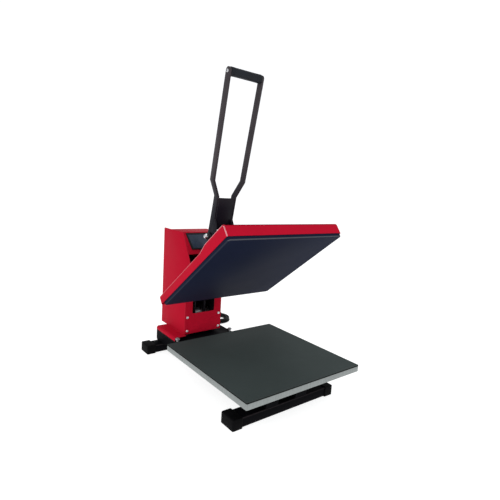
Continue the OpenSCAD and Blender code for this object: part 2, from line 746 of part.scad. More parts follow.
module mains_lead() { color(rubber) swept(lead_points, cord_r, 8, same_ref(lead_points, [1, 0.35, 0.2])); }
function coil_point(a, r, z) = [coil_c[0] + r * cos(a - 90), coil_c[1] + r * sin(a - 90), z];
coil_r1 = coil_r0 - coil_step * coil_turns;
climb = 180;
wind = 360 * coil_turns;
coil_path = concat(
    [coil_point(0, coil_r0, coil_z) - [straight, 0, 0]],
    [for (i = [0 : 24 * coil_turns]) coil_point(15 * i, coil_r0 - coil_step * i / 24, coil_z)],
    [for (i = [1 : 11]) coil_point(wind + climb * i / 12, coil_r1 - coil_step * min(i, 12 - i) / 24,
        coil_z + layer_h * (1 - cos(15 * i)) / 2)],
    [for (i = [0 : 24 * coil_turns])
        coil_point(wind + climb + 15 * i, coil_r1 + coil_step * i / 24, coil_z + layer_h)],
    [coil_point(180, coil_r0, coil_z + layer_h) - [straight, 0, 0]]);
echo(str("mains coil, least gap ", least_gap(coil_path, 12, cord_d)));
module mains_coil() { color(rubber) swept(coil_path, cord_r, 6, same_ref(coil_path, [0, 0, 1])); }
coil_end = coil_path[len(coil_path) - 1];
coil_way = [-1, 0, 0];
tail_l = 90;
plug_z = 18;
tail_path = [for (t = [0, 0.15, 0.3, 0.45, 0.6, 0.75, 0.9, 1])
    coil_end + tail_l * t * [coil_way[0], coil_way[1], 0]
        + [0, 0, (plug_z - coil_end[2]) * (1 - cos(180 * t)) / 2]];
module mains_tail() { color(rubber) swept(tail_path, cord_r, 8, same_ref(tail_path, [0, 0, 1])); }
pin_d = 4.8;
pin_set = 9.5;
module mains_plug() {
    e = tail_path[len(tail_path) - 1];
    color(rubber) translate(e) rotate([0, 0, angle_of(coil_way) - 90]) rotate([-90, 0, 0]) {
        rotate_extrude() polygon([[0, 0], [cord_r, 0], [6, 3], [9, 22], [16, 30], [plug_z, 34],
            [plug_z, 54], [16, 56], [0, 56]]);
        for (s = [-1, 1]) translate([s * pin_set, 0, 56 - joined]) cylinder(d = pin_d, h = 19 + joined);
    }
}
tie_angle = 45;
tie_t = 1;
tie_gap = 0.25;
tie_w = 14;
module cord_tie() {
    r0 = coil_r1 - coil_step / 4 - cord_r - tie_gap - tie_w / 12;
    r1 = coil_r0 + cord_r + tie_gap;
    z0 = coil_z - cord_r - tie_gap;
    z1 = coil_z + layer_h + cord_r + tie_gap;
    color(dark) translate([coil_c[0], coil_c[1], 0]) rotate([0, 0, tie_angle]) difference() {
        box([r0 - tie_t, -tie_w / 2, z0 - tie_t], [r1 + tie_t, tie_w / 2, z1 + tie_t]);
        box([r0, -tie_w / 2 - past, z0], [r1, tie_w / 2 + past, z1]);
    }
}

// Arms: two plates welded to the foot plate on the heater cover
arm_rise = 46;
arm_holes = [[0.78, 0.52, 0.9], [0.58, 0.44, 0.75], [0.41, 0.37, 0.6]];
module arm() {
    front = foot_plate_front + 4;
    back = foot_plate_back - 4;
    top = foot_plate_top + arm_rise;
    difference() {
        union() {
            plate_x(arm_x, arm_out) polygon([
                [front, foot_plate_top], [back, foot_plate_top], [-60, 24], [-46, 20], [-eye_r + 4, -13],
                [eye_r - 10, -18], [tail[0] + 6, tail[1] - 13], [tail[0] - 4, tail[1] + 13],
                [-12, 62], [pivot[0] + 12, pivot[1] + 16], [pivot[0] - 17, pivot[1] - 8],
                [-reach + 44, top + 8], [-reach + 30, top], [front + 18, top], [front, top - 16]]);
            rod_x(eye_r, arm_x, arm_out);
            translate([0, tail[0], tail[1]]) rod_x(tail_r, arm_x, arm_out);
            translate([0, pivot[0], pivot[1]]) rod_x(pivot_eye_r, arm_x, arm_out);
        }
        rod_x(hinge_bush_od / 2, arm_x - past, arm_out + past);
        translate([0, tail[0], tail[1]]) rod_x(tail_rod_d / 2, arm_x - past, arm_out + past);
        translate([0, pivot[0], pivot[1]]) rod_x(handle_bush_od / 2, arm_x - past, arm_out + past);
        for (h = arm_holes) translate([0, h[0] * pivot[0], h[1] * pivot[1]])
            rod_x(h[2] * pivot_eye_r, arm_x - past, arm_out + past);
    }
}
module arm_left() { color(black) in_arm() mirror([1, 0, 0]) arm(); }
module arm_right() { color(black) in_arm() arm(); }
module at_studs() {
    for (x = [-stud_x, stud_x], y = [foot_plate_front + stud_inset, foot_plate_back - stud_inset])
        translate([x, y, 0]) children();
}
module arm_foot_plate() {
    color(black) in_arm() difference() {
        box([-foot_plate_w / 2, foot_plate_front, cover_mid_top],
            [foot_plate_w / 2, foot_plate_back, foot_plate_top]);
        at_studs() translate([0, 0, cover_mid_top - past]) cylinder(d = bolt_d, h = foot_plate_t + 2 * past);
    }
}
module arm_tubes() {
    bush_half = cheek_x - 1;
    color(steel) in_arm() {
        translate([-bush_half, 0, 0]) rotate([0, 90, 0]) tube(hinge_bush_od, shaft_d + 2 * run_gap, 2 * bush_half);
        translate([-plate_in + 0.5, pivot[0], pivot[1]]) rotate([0, 90, 0])
            tube(handle_bush_od, pivot_d + 2 * run_gap, 2 * plate_in - 1);
        translate([0, tail[0], tail[1]]) rod_x(tail_rod_d / 2, -arm_out, arm_out);
    }
}
block_lift = 12;
block_h = 28;
block_low = foot_plate_top + block_lift;
block_top = block_low + block_h;
block_d = 40;
module pressure_block() {
    color(black) in_heater() difference() {
        box([-arm_x, -block_d / 2, block_low], [arm_x, block_d / 2, block_top]);
        translate([0, 0, block_low - past])
            cylinder(d = screw_d + 2 * run_gap, h = block_top - block_low + 2 * past);
    }
}
// Knob with finger flutes on its screw; the foot of the screw bears on the foot plate
knob_lift = 14;
knob_hub_r = 14;
knob_z = block_top + knob_lift;
module pressure_knob() {
    flutes = 8;
    color(rubber) in_heater() difference() {
        union() {
            translate([0, 0, foot_plate_top + 0.3]) cylinder(d = screw_d, h = knob_z - foot_plate_top);
            translate([0, 0, knob_z]) rotate_extrude() polygon([[0, 0], [knob_hub_r, 0], [knob_d / 2 - 3, 4],
                [knob_d / 2, 7], [knob_d / 2, knob_h - 4], [knob_d / 2 - 4, knob_h], [0, knob_h]]);
        }
        for (i = [0 : flutes - 1]) rotate([0, 0, 360 * i / flutes]) translate([knob_d / 2 + 4, 0, knob_z - past])
            cylinder(r = 9, h = knob_h + 2 * past);
    }
}

// Heater: folded cover, heating plate, heater mat and insulation
function cover_side(t) = let (y0 = cover_front_y + t, y1 = cover_back_y - t, hi = cover_high_top - t,
    lo = cover_mid_top - t, e = cover_edge, base = cover_low - (t > 0 ? past : 0),
    s0 = cover_front_y + cover_front_d - t / 4, s1 = s0 + cover_slope_d)
    concat([[y0, base], [y1, base]], arc([y1 - e, lo - e], e, 0, 90, 6), [[s1, lo], [s0, hi]],
        arc([y0 + e, hi - e], e, 90, 180, 6));
module cover_body(t) {
    length = cover_back_y - cover_front_y - 2 * t;
    intersection() {
        plate_x(t - cover_side_x, cover_side_x - t) polygon(cover_side(t));
        translate([0, (cover_back_y + cover_front_y) / 2, 0])
            slab(2 * (cover_side_x - t), length, cover_r - t, cover_low - 2 * past, cover_high_top + past);
    }
}
module heater_cover() {
    color(red) in_arm() difference() {
        translate([0, -reach, 0]) difference() {
            cover_body(0);
            cover_body(cover_t);
        }
        at_studs() translate([0, 0, cover_mid_top - cover_t - past]) cylinder(d = bolt_d, h = cover_t + 2 * past);
    }
}
stud_in = 6;
module heating_plate() {
    color(dark) in_arm() difference() {
        translate([0, -reach, 0]) slab(platen_w, platen_d, heat_r, heat_low, heat_top);
        at_studs() translate([0, 0, heat_top - stud_in]) cylinder(d = bolt_d, h = stud_in + past);
    }
}
lining_inset = 10;
module lining(z0, z1) {
    in_arm() difference() {
        translate([0, -reach, 0]) slab(platen_w - 2 * lining_inset, platen_d - 2 * lining_inset, heat_r, z0, z1);
        at_studs() translate([0, 0, z0 - past]) cylinder(d = bolt_d, h = z1 - z0 + 2 * past);
    }
}
module heater_mat() { color("peru") lining(heat_top, heat_top + mat_t); }
module insulation_board() { color("ivory") lining(heat_top + mat_t, cover_mid_top - cover_t); }
module heater_studs() {
    color(steel) in_arm() at_studs() {
        translate([0, 0, heat_top - stud_in]) cylinder(d = bolt_d, h = foot_plate_top + 12 - heat_top + stud_in);
        translate([0, 0, foot_plate_top]) difference() {
            union() {
                cylinder(d = 2 * bolt_d, h = washer_t);
                translate([0, 0, washer_t - joined]) hex(nut_af, nut_h + joined);
            }
            translate([0, 0, -past]) cylinder(d = bolt_d, h = nut_h + washer_t + 2 * past);
        }
    }
}

// Handle: two bent flat bars from the pivot to the grip, with a plate between their lower ends
bar_front = bar_mid - bar_thick / 2;
bar_back = bar_mid + bar_thick / 2;
bar_rise = 4;
bar_over = 1;
eye_over = 20;
flare = [-21, 43];
flare_rise = 14;
module handle_plate() {
    web_low = 24;
    y0 = bar_front + plate_set;
    color(black) in_handle() box([-plate_in, y0, web_low], [plate_in, y0 + plate_t, plate_top]);
}
// Lower end of a bar, with the eyes for the pivot bolt and the link pin
module bar_foot() {
    top = plate_top - eye_over;
    plate_x(plate_in, plate_w / 2) polygon([
        [bar_front, top], [bar_back, top], [bar_back + 2, pivot_d], [pivot_d / 2 + 11, 4], [pivot_d / 2 + 8, -12],
        [lug[0] + 8, lug[1] - 11], [lug[0] - 13, lug[1] + 4], flare, [bar_front, flare[1] + flare_rise]]);
    translate([0, lug[0], lug[1]]) rod_x(lug_r, plate_in, plate_w / 2);
    rod_x(pivot_d / 2 + 12, plate_in, plate_w / 2);
}
// The bar bends out above the plate, bends up again and rises to its rounded end at the grip
module bar_strip() {
    foot_x = plate_in + bar_w / 2;
    path = [[foot_x, plate_top - eye_over - joined], [foot_x, plate_top + bar_rise], [bend_x, bend_z],
        [grip_x, handle_l - grip_d], [grip_x, handle_l + bar_thick]];
    last = len(path) - 1;
    intersection() {
        plate_y(bar_front, bar_back) polygon(concat(
            [for (i = [0 : last]) path[i] - bar_w / 2 * mitre(path, i)],
            [for (i = [last : -1 : 0]) path[i] + bar_w / 2 * mitre(path, i)]));
        plate_x(0, 2 * grip_x) polygon(concat(
            [[bar_front, 0], [bar_back, 0]], arc([bar_mid, handle_l + bar_over], bar_thick / 2, 0, 180, 12)));
    }
}
module handle_bar() {
    color(black) in_handle() difference() {
        union() {
            bar_foot();
            bar_strip();
        }
        rod_x(pivot_d / 2, plate_in - past, plate_w / 2 + past);
        translate([0, lug[0], lug[1]]) rod_x(link_pin_d / 2, plate_in - past, plate_w / 2 + past);
        at_grip() rod_x(grip_screw_d / 2, grip_x - bar_w, grip_x + bar_w);
    }
}
module handle_left_bar() { mirror([1, 0, 0]) handle_bar(); }
module handle_right_bar() { handle_bar(); }
grip_half = grip_x - bar_w / 2;
grip_screw_d = 5;
grip_screw_in = 14;
module at_grip() { translate([0, bar_mid, handle_l]) children(); }
module handle_grip() {
    color(rubber) in_handle() at_grip() difference() {
        rotate([0, 90, 0]) rotate_extrude() polygon([[0, -grip_half], [grip_d / 2 - 1.5, -grip_half],
            [grip_d / 2, -grip_half + 1.5], [grip_d / 2, grip_half - 1.5],
            [grip_d / 2 - 1.5, grip_half], [0, grip_half]]);
        for (s = [-1, 1]) rod_x(grip_screw_d / 2, s * grip_half - grip_screw_in, s * grip_half + grip_screw_in);
    }
}
module grip_screws() {
    color(steel) in_handle() mirrored() at_grip() translate([grip_x + bar_w / 2, 0, 0]) rotate([0, 90, 0]) {
        rotate_extrude() polygon([[0, 0], [5, 0], [4.6, 1.6], [3, 3], [0, 3.4]]);
        translate([0, 0, -bar_w - grip_screw_in]) cylinder(d = grip_screw_d, h = bar_w + grip_screw_in + joined);
    }
}
// Pivot bolt with a collar and a domed nut outside each bar
dome_nut_af = 19;
pivot_collar = 5;
module handle_pivot_bolt() {
    color(steel) in_handle() {
        rod_x(pivot_d / 2, -plate_w / 2 - joined, plate_w / 2 + joined);
        mirrored() translate([plate_w / 2, 0, 0]) rotate([0, 90, 0]) {
            cylinder(d = 2 * pivot_d, h = pivot_collar);
            translate([0, 0, pivot_collar - joined]) hex(dome_nut_af, 8 + joined);
            translate([0, 0, pivot_collar]) rotate_extrude()
                polygon([[0, 7], [8.4, 7], [8.4, 9], [7, 12], [4, 14], [0, 14.8]]);
        }
    }
}
module link_pins() {
    color(steel) in_handle() mirrored() translate([0, lug[0], lug[1]]) {
        rod_x(link_pin_d / 2, link_x, plate_w / 2 + joined);
        rod_x(link_pin_d / 2 + 3, plate_w / 2, plate_w / 2 + 3);
    }
}

// Links between the column's anchor pins and the handle's link pins
module toggle_links() {
    hole = link_pin_d / 2 + lug_room;
    color(black) in_link() mirrored() difference() {
        union() {
            plate_x(link_x, link_out) translate([0, -link_w / 2]) square([link_l, link_w]);
            rod_x(link_w / 2, link_x, link_out);
            translate([0, link_l, 0]) rod_x(hole + 6, link_x, link_out);
        }
        rod_x(pivot_d / 2 + run_gap, link_x - past, link_out + past);
        translate([0, link_l, 0]) rod_x(hole, link_x - past, link_out + past);
    }
}

front_beam();
rear_beam();
foot_front_left();
foot_front_right();
foot_rear_left();
foot_rear_right();
base_rail_left();
base_rail_right();
pedestal_plate();
pedestal_sides();
pedestal_bolts();
platen_bar_front();
platen_bar_rear();
platen_spacers();
platen_bolts();
lower_platen();
silicone_pad();
column_left_panel();
column_right_panel();
column_front_panel();
panel_screws();
console_cover();
rear_cover();
controller_bezel();
controller_screen();
controller_board();
cheek_left();
cheek_right();
hinge_shaft();
shaft_end_bolts();
link_anchor_pins();
power_relay();
lift_spring();
switch_frame();
cord_gland();
mains_lead();
mains_coil();
mains_tail();
mains_plug();
cord_tie();
power_rocker();
arm_left();
arm_right();
arm_foot_plate();
arm_tubes();
pressure_block();
heater_cover();
heating_plate();
heater_mat();
insulation_board();
heater_studs();
pressure_knob();
handle_plate();
handle_left_bar();
handle_right_bar();
handle_grip();
grip_screws();
handle_pivot_bolt();
link_pins();
toggle_links();
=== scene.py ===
"""Looks of a flat clamshell heat press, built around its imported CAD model.

Front of the press is -Y, its right side +X, up is +Z, all in metres.
"""

import json
import math

import bmesh
import bpy
from mathutils import Matrix, Vector

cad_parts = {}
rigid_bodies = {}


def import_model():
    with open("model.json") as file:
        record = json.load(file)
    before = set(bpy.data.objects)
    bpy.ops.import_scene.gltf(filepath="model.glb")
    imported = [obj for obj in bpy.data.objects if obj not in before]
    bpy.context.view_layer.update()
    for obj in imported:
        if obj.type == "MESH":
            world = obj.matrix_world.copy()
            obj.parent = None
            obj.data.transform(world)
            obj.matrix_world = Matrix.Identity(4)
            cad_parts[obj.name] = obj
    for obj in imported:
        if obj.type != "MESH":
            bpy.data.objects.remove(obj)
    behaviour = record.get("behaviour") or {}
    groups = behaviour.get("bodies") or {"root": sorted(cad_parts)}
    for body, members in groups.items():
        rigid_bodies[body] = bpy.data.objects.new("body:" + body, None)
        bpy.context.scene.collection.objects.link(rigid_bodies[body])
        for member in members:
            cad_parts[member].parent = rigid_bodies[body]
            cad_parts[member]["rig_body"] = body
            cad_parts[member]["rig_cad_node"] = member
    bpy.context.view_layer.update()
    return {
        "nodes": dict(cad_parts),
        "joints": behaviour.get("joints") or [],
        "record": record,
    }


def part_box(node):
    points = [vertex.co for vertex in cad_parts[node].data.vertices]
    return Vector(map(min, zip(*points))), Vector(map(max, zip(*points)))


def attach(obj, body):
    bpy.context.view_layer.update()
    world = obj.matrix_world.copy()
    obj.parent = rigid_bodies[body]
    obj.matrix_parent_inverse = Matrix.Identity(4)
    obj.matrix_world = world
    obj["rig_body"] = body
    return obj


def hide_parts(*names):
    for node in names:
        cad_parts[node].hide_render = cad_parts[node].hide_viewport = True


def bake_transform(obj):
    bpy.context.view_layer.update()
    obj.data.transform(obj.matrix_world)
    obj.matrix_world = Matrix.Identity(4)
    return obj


bl_info = {
    "name": "Heat Press Looks",
    "version": (1, 0, 0),
    "blender": (4, 5, 0),
    "location": "View3D > Sidebar > Heat Press",
    "description": "Finishes, soft pieces and stage for a flat clamshell heat press",
    "category": "Object",
}

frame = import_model()
NODES = frame["nodes"]
SLOT_OF = {s["node"]: s["material_slot"] for s in frame["record"]["subparts"]}
COLOUR_OF = {m["slot"]: tuple(m["base_color"]) for m in frame["record"]["materials"]}
BODY_OF = {n: b for b, names in frame["record"]["behaviour"]["bodies"].items() for n in names}
MM = 0.001
# The press stands open by TILT: UPRIGHT and ALONG are the heater's own up and back.
TILT = math.radians(frame["joints"][0]["range_deg"][1])
UPRIGHT = Vector((0.0, math.sin(TILT), math.cos(TILT)))
ALONG = Vector((0.0, math.cos(TILT), -math.sin(TILT)))
RIGHT, LEFT = (1.0, 0.0, 0.0), (-1.0, 0.0, 0.0)
BACK, FRONT = (0.0, 1.0, 0.0), (0.0, -1.0, 0.0)
UP = (0.0, 0.0, 1.0)

# Angles in degrees: where shading breaks, what counts as a sharp edge, and as flat.
SMOOTH_ANGLE, EDGE_ANGLE, FLAT_ANGLE = 32.0, 35.0, 0.4
MERGE_DISTANCE = 1e-5
# Noise seldom leaves this range.
NOISE_LOW, NOISE_HIGH = 0.3, 0.7
# Tint of worn powder coat, which also paints the highlight on the heater cover's folds.
WEAR_AND_HIGHLIGHT_TINT = (1.0, 0.80, 0.84)
# The handle's black, and the paler colour of the sheen painted on its upper bars.
HANDLE_BLACK, HANDLE_PAINTED_SHEEN = (0.0085, 0.0088, 0.0145), (0.052, 0.044, 0.048)
GRIP_BLACK = (0.0065, 0.0088, 0.0128)

# Height of the cord's lower layer, and the coil's middle: x, and y from the gland's mouth.
CORD_REST = 0.005
COIL_X, COIL_Y = 0.236, 0.110
# An M8 hexagon in mm: width over its flats, and half its width over corners.
M8_FLATS, M8_CORNER = 13.0, 7.506

FLOOR_SIZE = 40.0
WORLD_TINT, BACKDROP_POWER = (0.97, 0.98, 1.0, 1.0), 1.08
# Name, place, diameter and share of the key light's power.
LIGHTS = (
    ("key_box", (-2.3, -1.1, 2.0), 1.8, 1.0),
    ("fill_box", (0.9, -2.4, 1.9), 1.8, 0.4),
    ("rim_box", (1.6, 2.4, 2.0), 1.4, 0.4),
)
LIGHT_AIM = Vector((0.0, 0.0, 0.25))
# The camera fitted to the photograph, its angles in degrees.
CAMERA_PLACE = (-0.7064, -0.9786, 0.5720)
CAMERA_TURN, CAMERA_RISE, CAMERA_ROLL = -39.14, 8.83, 3.81
CAMERA_SHIFT = (-0.0199, 0.0016)
SENSOR_WIDTH, CLIP_START = 36.0, 0.01


def colour_property(label, colour):
    """A colour that a user may change."""
    return bpy.props.FloatVectorProperty(
        name=label, description=f"Colour of the {label.lower()}", subtype="COLOR", size=3,
        min=0.0, max=1.0, default=colour)


def length_property(label, about, value):
    """A length in metres."""
    return bpy.props.FloatProperty(
        name=label, description=about, subtype="DISTANCE", unit="LENGTH", min=0.0, precision=5, default=value)


class PressFinishSettings(bpy.types.PropertyGroup):
    """Colours and edges of the press."""

    red: colour_property("Red powder coat", (0.47, 0.0065, 0.025))
    black: colour_property("Black powder coat", (0.0075, 0.0075, 0.0105))
    pad: colour_property("Silicone pad", (0.046, 0.060, 0.058))
    coating: colour_property("Heating plate coating", (0.0112, 0.0150, 0.0330))
    aluminium: colour_property("Bare aluminium", (0.30, 0.325, 0.32))
    screen: colour_property("Screen film", (0.036, 0.054, 0.084))
    cover_edge: length_property("Cover edge", "Rounding of the heater cover's folded edges", 0.0032)
    sheet_edge: length_property("Sheet edge", "Rounding of cut sheet-metal edges", 0.0005)
    plate_edge: length_property("Plate edge", "Rounding of thick plate edges", 0.0008)
    tube_edge: length_property("Tube edge", "Corner rounding of the box tubes", 0.0022)
    rubber_edge: length_property("Rubber edge", "Rounding of the rubber feet", 0.0012)
    small_edge: length_property("Small edge", "Rounding of small turned and moulded pieces", 0.0004)
    rim_edge: length_property("Heater rim", "Rounding of the heating plate's working edges", 0.0024)


class PressCordSettings(bpy.types.PropertyGroup):
    """Sizes of the mains lead."""

    diameter: length_property("Diameter", "Outer diameter of the mains lead", 0.0075)
    coil_radius: length_property("Coil radius", "Radius of the coil's outer turn", 0.050)
    coil_step: length_property("Coil step", "Distance between turns in one layer", 0.0083)
    layer_height: length_property("Layer height", "Distance between the coil's two layers", 0.0082)
    turns: bpy.props.IntProperty(name="Turns", description="Turns in each layer", min=1, max=6, default=2)


class PressStageSettings(bpy.types.PropertyGroup):
    """Floor, lights and camera."""

    floor: colour_property("Floor", (0.5, 0.5, 0.5))
    lens: bpy.props.FloatProperty(
        name="Lens", description="Focal length of the camera", subtype="DISTANCE_CAMERA", min=5.0,
        default=29.8)
    world_power: bpy.props.FloatProperty(
        name="Room light", description="Strength of the even light of the room", min=0.0, default=0.62)
    key_power: bpy.props.FloatProperty(
        name="Key light", description="Power of the main soft box", subtype="POWER", min=0.0, default=24.0)


def only(obj):
    """Make obj the one selected and active object, in object mode."""
    if bpy.context.object and bpy.context.object.mode != "OBJECT":
        bpy.ops.object.mode_set(mode="OBJECT")
    bpy.ops.object.select_all(action="DESELECT")
    obj.select_set(True)
    bpy.context.view_layer.objects.active = obj


def added(name):
    """The object that the last operator added, named."""
    obj = bpy.context.object
    obj.name = name
    obj.data.name = name
    return obj


def settle(obj):
    """Put the object's place into its mesh, so that the object sits at the origin."""
    only(obj)
    bpy.ops.object.transform_apply(location=True, rotation=True, scale=True)
    return obj


def edit(obj):
    """Open obj in edit mode with everything selected, and return its edit mesh."""
    only(obj)
    bpy.ops.object.mode_set(mode="EDIT")
    bpy.ops.mesh.select_mode(type="VERT")
    bpy.ops.mesh.select_all(action="SELECT")
    return bmesh.from_edit_mesh(obj.data)


def close():
    """Leave edit mode."""
    bpy.ops.object.mode_set(mode="OBJECT")


def pick_faces(mesh, test):
    """Select the faces whose centre passes a test."""
    bpy.ops.mesh.select_mode(type="FACE")
    for face in mesh.faces:
        face.select_set(test(face.calc_center_median()))
    mesh.select_flush_mode()


def pick_edges(mesh, test):
    """Select the edges that pass a test, and return how many there are."""
    bpy.ops.mesh.select_mode(type="EDGE")
    chosen = [edge for edge in mesh.edges if test(edge)]
    for edge in mesh.edges:
        edge.select_set(False)
    for edge in chosen:
        edge.select_set(True)
    mesh.select_flush_mode()
    return len(chosen)


def sharp(edge, degrees):
    """True where two faces meet at more than the angle given."""
    return len(edge.link_faces) == 2 and edge.calc_face_angle(0.0) > math.radians(degrees)


def drawn_up(height):
    """Extrude what is selected upwards."""
    bpy.ops.mesh.extrude_region_move(TRANSFORM_OT_translate={"value": (0.0, 0.0, height)})


def face_outwards():
    """Turn all faces of the open mesh outwards."""
    bpy.ops.mesh.select_all(action="SELECT")
    bpy.ops.mesh.normals_make_consistent(inside=False)


def plane(name, size=1.0):
    """A flat square at the origin."""
    bpy.ops.mesh.primitive_plane_add(size=size)
    return added(name)


def thicken(obj, thick, side):
    """Give a sheet its thickness, on one side (1) or the other (-1)."""
    only(obj)
    wall = obj.modifiers.new("thickness", "SOLIDIFY")
    wall.thickness = thick
    wall.offset = side
    bpy.ops.object.modifier_apply(modifier=wall.name)


def mark_wear(obj, marks):
    """Write each face's mark into the attribute that the finishes read: edge wear, a painted highlight on
    some pieces, painted shade on the pad's sides.
    """
    obj.data.attributes.new("edge", "FLOAT", "FACE").data.foreach_set("value", marks)


def belongs(obj, node, finish=None):
    """Give obj the body of a CAD node that it stands for, and the finish of the node's slot or another one.
    """
    obj.data.materials.clear()
    obj.data.materials.append(finish_of(finish or SLOT_OF[node]))
    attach(obj, BODY_OF[node])
    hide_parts(node)
    return obj


def softened(node, width, segments=2, angle=EDGE_ANGLE, where=None, wear=0.3, rubbed=None, finer=None):
    """A copy of a CAD node with rounded edges: the sharp ones that pass where's test, if there is one.

    finer gives width, segments and test of a second rounding. Faces of rounded edges are marked with the
    given strength, or all faces with that strength times the share that the face test gives them; the mark is
    edge wear, and on the heater cover and heating plate mostly a painted highlight.
    """
    obj = copied(NODES[node])
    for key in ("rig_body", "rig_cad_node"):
        if key in obj:
            del obj[key]
    obj.parent = None
    obj.matrix_world = Matrix.Identity(4)
    obj.name = node + "_edged"
    obj.data.name = obj.name
    obj.data.materials.clear()
    for _ in range(2):
        obj.data.materials.append(None)
    only(obj)
    bpy.ops.mesh.customdata_custom_splitnormals_clear()
    edit(obj)
    bpy.ops.mesh.remove_doubles(threshold=MERGE_DISTANCE)
    bpy.ops.mesh.dissolve_limited(angle_limit=math.radians(FLAT_ANGLE))
    mesh = bmesh.from_edit_mesh(obj.data)

    for offset, steps, test in ((width, segments, where), finer or (None, None, None)):
        if offset and pick_edges(mesh, lambda edge: sharp(edge, angle) and (test is None or test(edge))):
            bpy.ops.mesh.bevel(offset=offset, segments=steps, profile=0.5, clamp_overlap=False, material=1)
            mesh = bmesh.from_edit_mesh(obj.data)
    close()
    # Each face's share of the mark: edge wear, and on some pieces a painted highlight.
    worn = rubbed or (lambda face: face.material_index == 1)
    mark_wear(obj, [wear * worn(face) for face in obj.data.polygons])
    obj.data.polygons.foreach_set("material_index", [0] * len(obj.data.polygons))
    return smooth(obj)


def turned(name, rings, sides=32, axis=UP, at=(0.0, 0.0, 0.0)):
    """A piece turned on a lathe: a disc drawn out ring by ring (radius, height in mm), laid along an axis."""
    radius, level = rings[0]
    bpy.ops.mesh.primitive_circle_add(vertices=sides, radius=radius * MM, fill_type="NGON",
                                      location=(0.0, 0.0, level * MM))
    obj = settle(added(name))
    edit(obj)
    for wider, height in rings[1:]:
        drawn_up((height - level) * MM)
        if wider != radius:
            share = wider / radius
            bpy.ops.transform.resize(value=(share, share, 1.0), center_override=(0.0, 0.0, height * MM))
        radius, level = wider, height
    face_outwards()
    close()
    return smooth(laid(obj, axis, at))


def laid(obj, axis, at, spin=0.0):
    """Turn a piece made along +Z to another axis, spun about it, and put it in its place."""
    turn = Vector(UP).rotation_difference(Vector(axis)).to_matrix().to_4x4()
    obj.matrix_world = Matrix.Translation(at) @ turn @ Matrix.Rotation(spin, 4, "Z")
    return settle(obj)


def smooth(obj, degrees=SMOOTH_ANGLE):
    """Shade a piece smooth up to an angle."""
    only(obj)
    bpy.ops.object.shade_smooth_by_angle(angle=math.radians(degrees))
    return obj


def copied(obj):
    """A copy of a piece with a mesh of its own."""
    twin = obj.copy()
    twin.data = obj.data.copy()
    bpy.context.scene.collection.objects.link(twin)
    return twin


def joined(name, pieces):
    """Several pieces made one."""
    only(pieces[0])
    for piece in pieces:
        piece.select_set(True)
    bpy.ops.object.join()
    return added(name)


def carved(obj, cutter):
    """Cut one shape out of another, and remove the cutter."""
    only(obj)
    cut = obj.modifiers.new("recess", "BOOLEAN")
    cut.operation = "DIFFERENCE"
    cut.solver = "EXACT"
    cut.object = cutter
    bpy.ops.object.modifier_apply(modifier=cut.name)
    bpy.data.objects.remove(cutter)
    return smooth(obj)


def bar_cutter(size, height):
    """A bar that cuts a slot, its size in mm and its middle at a height."""
    bpy.ops.mesh.primitive_cube_add(size=1.0, location=(0.0, 0.0, height * MM))
    cutter = added("slot_cutter")
    cutter.scale = [side * MM for side in size]
    return settle(cutter)


def times(colour, share):
    """A colour made darker or lighter."""
    return tuple(min(1.0, c * share) for c in colour)


class ShaderTree:
    """Adds nodes to a node tree."""

    def __init__(self, tree):
        self.tree = tree

    def link(self, socket, value):
        """Link a socket to another socket, or set its number or colour."""
        if isinstance(value, bpy.types.NodeSocket):
            self.tree.links.new(value, socket)
        elif socket.type == "RGBA" and len(value) == 3:
            socket.default_value = (*value, 1.0)
        else:
            socket.default_value = value

    def add(self, kind, inputs=None, **settings):
        """Add a node with its settings and inputs."""
        node = self.tree.nodes.new("ShaderNode" + kind)
        for key, value in settings.items():
            setattr(node, key, value)
        for key, value in (inputs or {}).items():
            self.link(node.inputs[key], value)
        return node

    def spread(self, value, low, high, to_low=0.0, to_high=1.0):
        """Map a range of a value to another range."""
        limits = {"From Min": low, "From Max": high, "To Min": to_low, "To Max": to_high}
        return self.add("MapRange", {"Value": value, **limits}).outputs["Result"]

    def combined(self, operation, first, second):
        """Two values added or multiplied."""
        return self.add("Math", {0: first, 1: second}, operation=operation).outputs[0]

    def tinted(self, share, first, second):
        """Colour between two colours."""
        return self.add("Mix", {0: share, 6: first, 7: second}, data_type="RGBA").outputs[2]


class Finish(ShaderTree):
    """A material with a Principled shader."""

    def __init__(self, name, **sockets):
        self.material = bpy.data.materials.new(name)
        self.material.use_nodes = True
        super().__init__(self.material.node_tree)
        self.shader = self.tree.nodes["Principled BSDF"]
        for key, value in sockets.items():
            self.link(self.shader.inputs[key.replace("_", " ")], value)
        self.place = self.add("TexCoord").outputs["Object"]

    def noise(self, scale, detail=2.0, rough=0.5):
        """Noise of a given scale, in waves a metre; three scales stretch it along the axes."""
        place = self.place
        if isinstance(scale, tuple):
            place = self.add("Mapping", {"Vector": place, "Scale": scale}).outputs["Vector"]
            scale = 1.0
        inputs = {"Vector": place, "Scale": scale, "Detail": detail, "Roughness": rough}
        return self.add("TexNoise", inputs).outputs["Fac"]

    def patchy(self, noise, low, high):
        """Noise brought to a range."""
        return self.spread(noise, NOISE_LOW, NOISE_HIGH, low, high)

    def varied(self, noise, colour, dark, light):
        """A colour that changes between two shares of itself."""
        return self.tinted(self.patchy(noise, 0.0, 1.0), times(colour, dark), times(colour, light))

    def rim(self, most=1.0):
        """The face's mark of edge wear and painted light, times a limit: 0 where nothing is marked."""
        worn = self.add("Attribute", attribute_name="edge", attribute_type="GEOMETRY").outputs["Fac"]
        return worn if most == 1.0 else self.spread(worn, 0.0, 1.0, 0.0, most)

    def relief(self, height, strength, depth, under=None):
        """Bump from a height, over another bump if one is given."""
        inputs = {"Height": height, "Strength": strength, "Distance": depth}
        if under is not None:
            inputs["Normal"] = under
        return self.add("Bump", inputs).outputs["Normal"]

    def coat(self, colour, rough, normal=None):
        """Give the shader its colour, roughness and bump."""
        self.link(self.shader.inputs["Base Color"], colour)
        self.link(self.shader.inputs["Roughness"], rough)
        if normal is not None:
            self.link(self.shader.inputs["Normal"], normal)
        return self


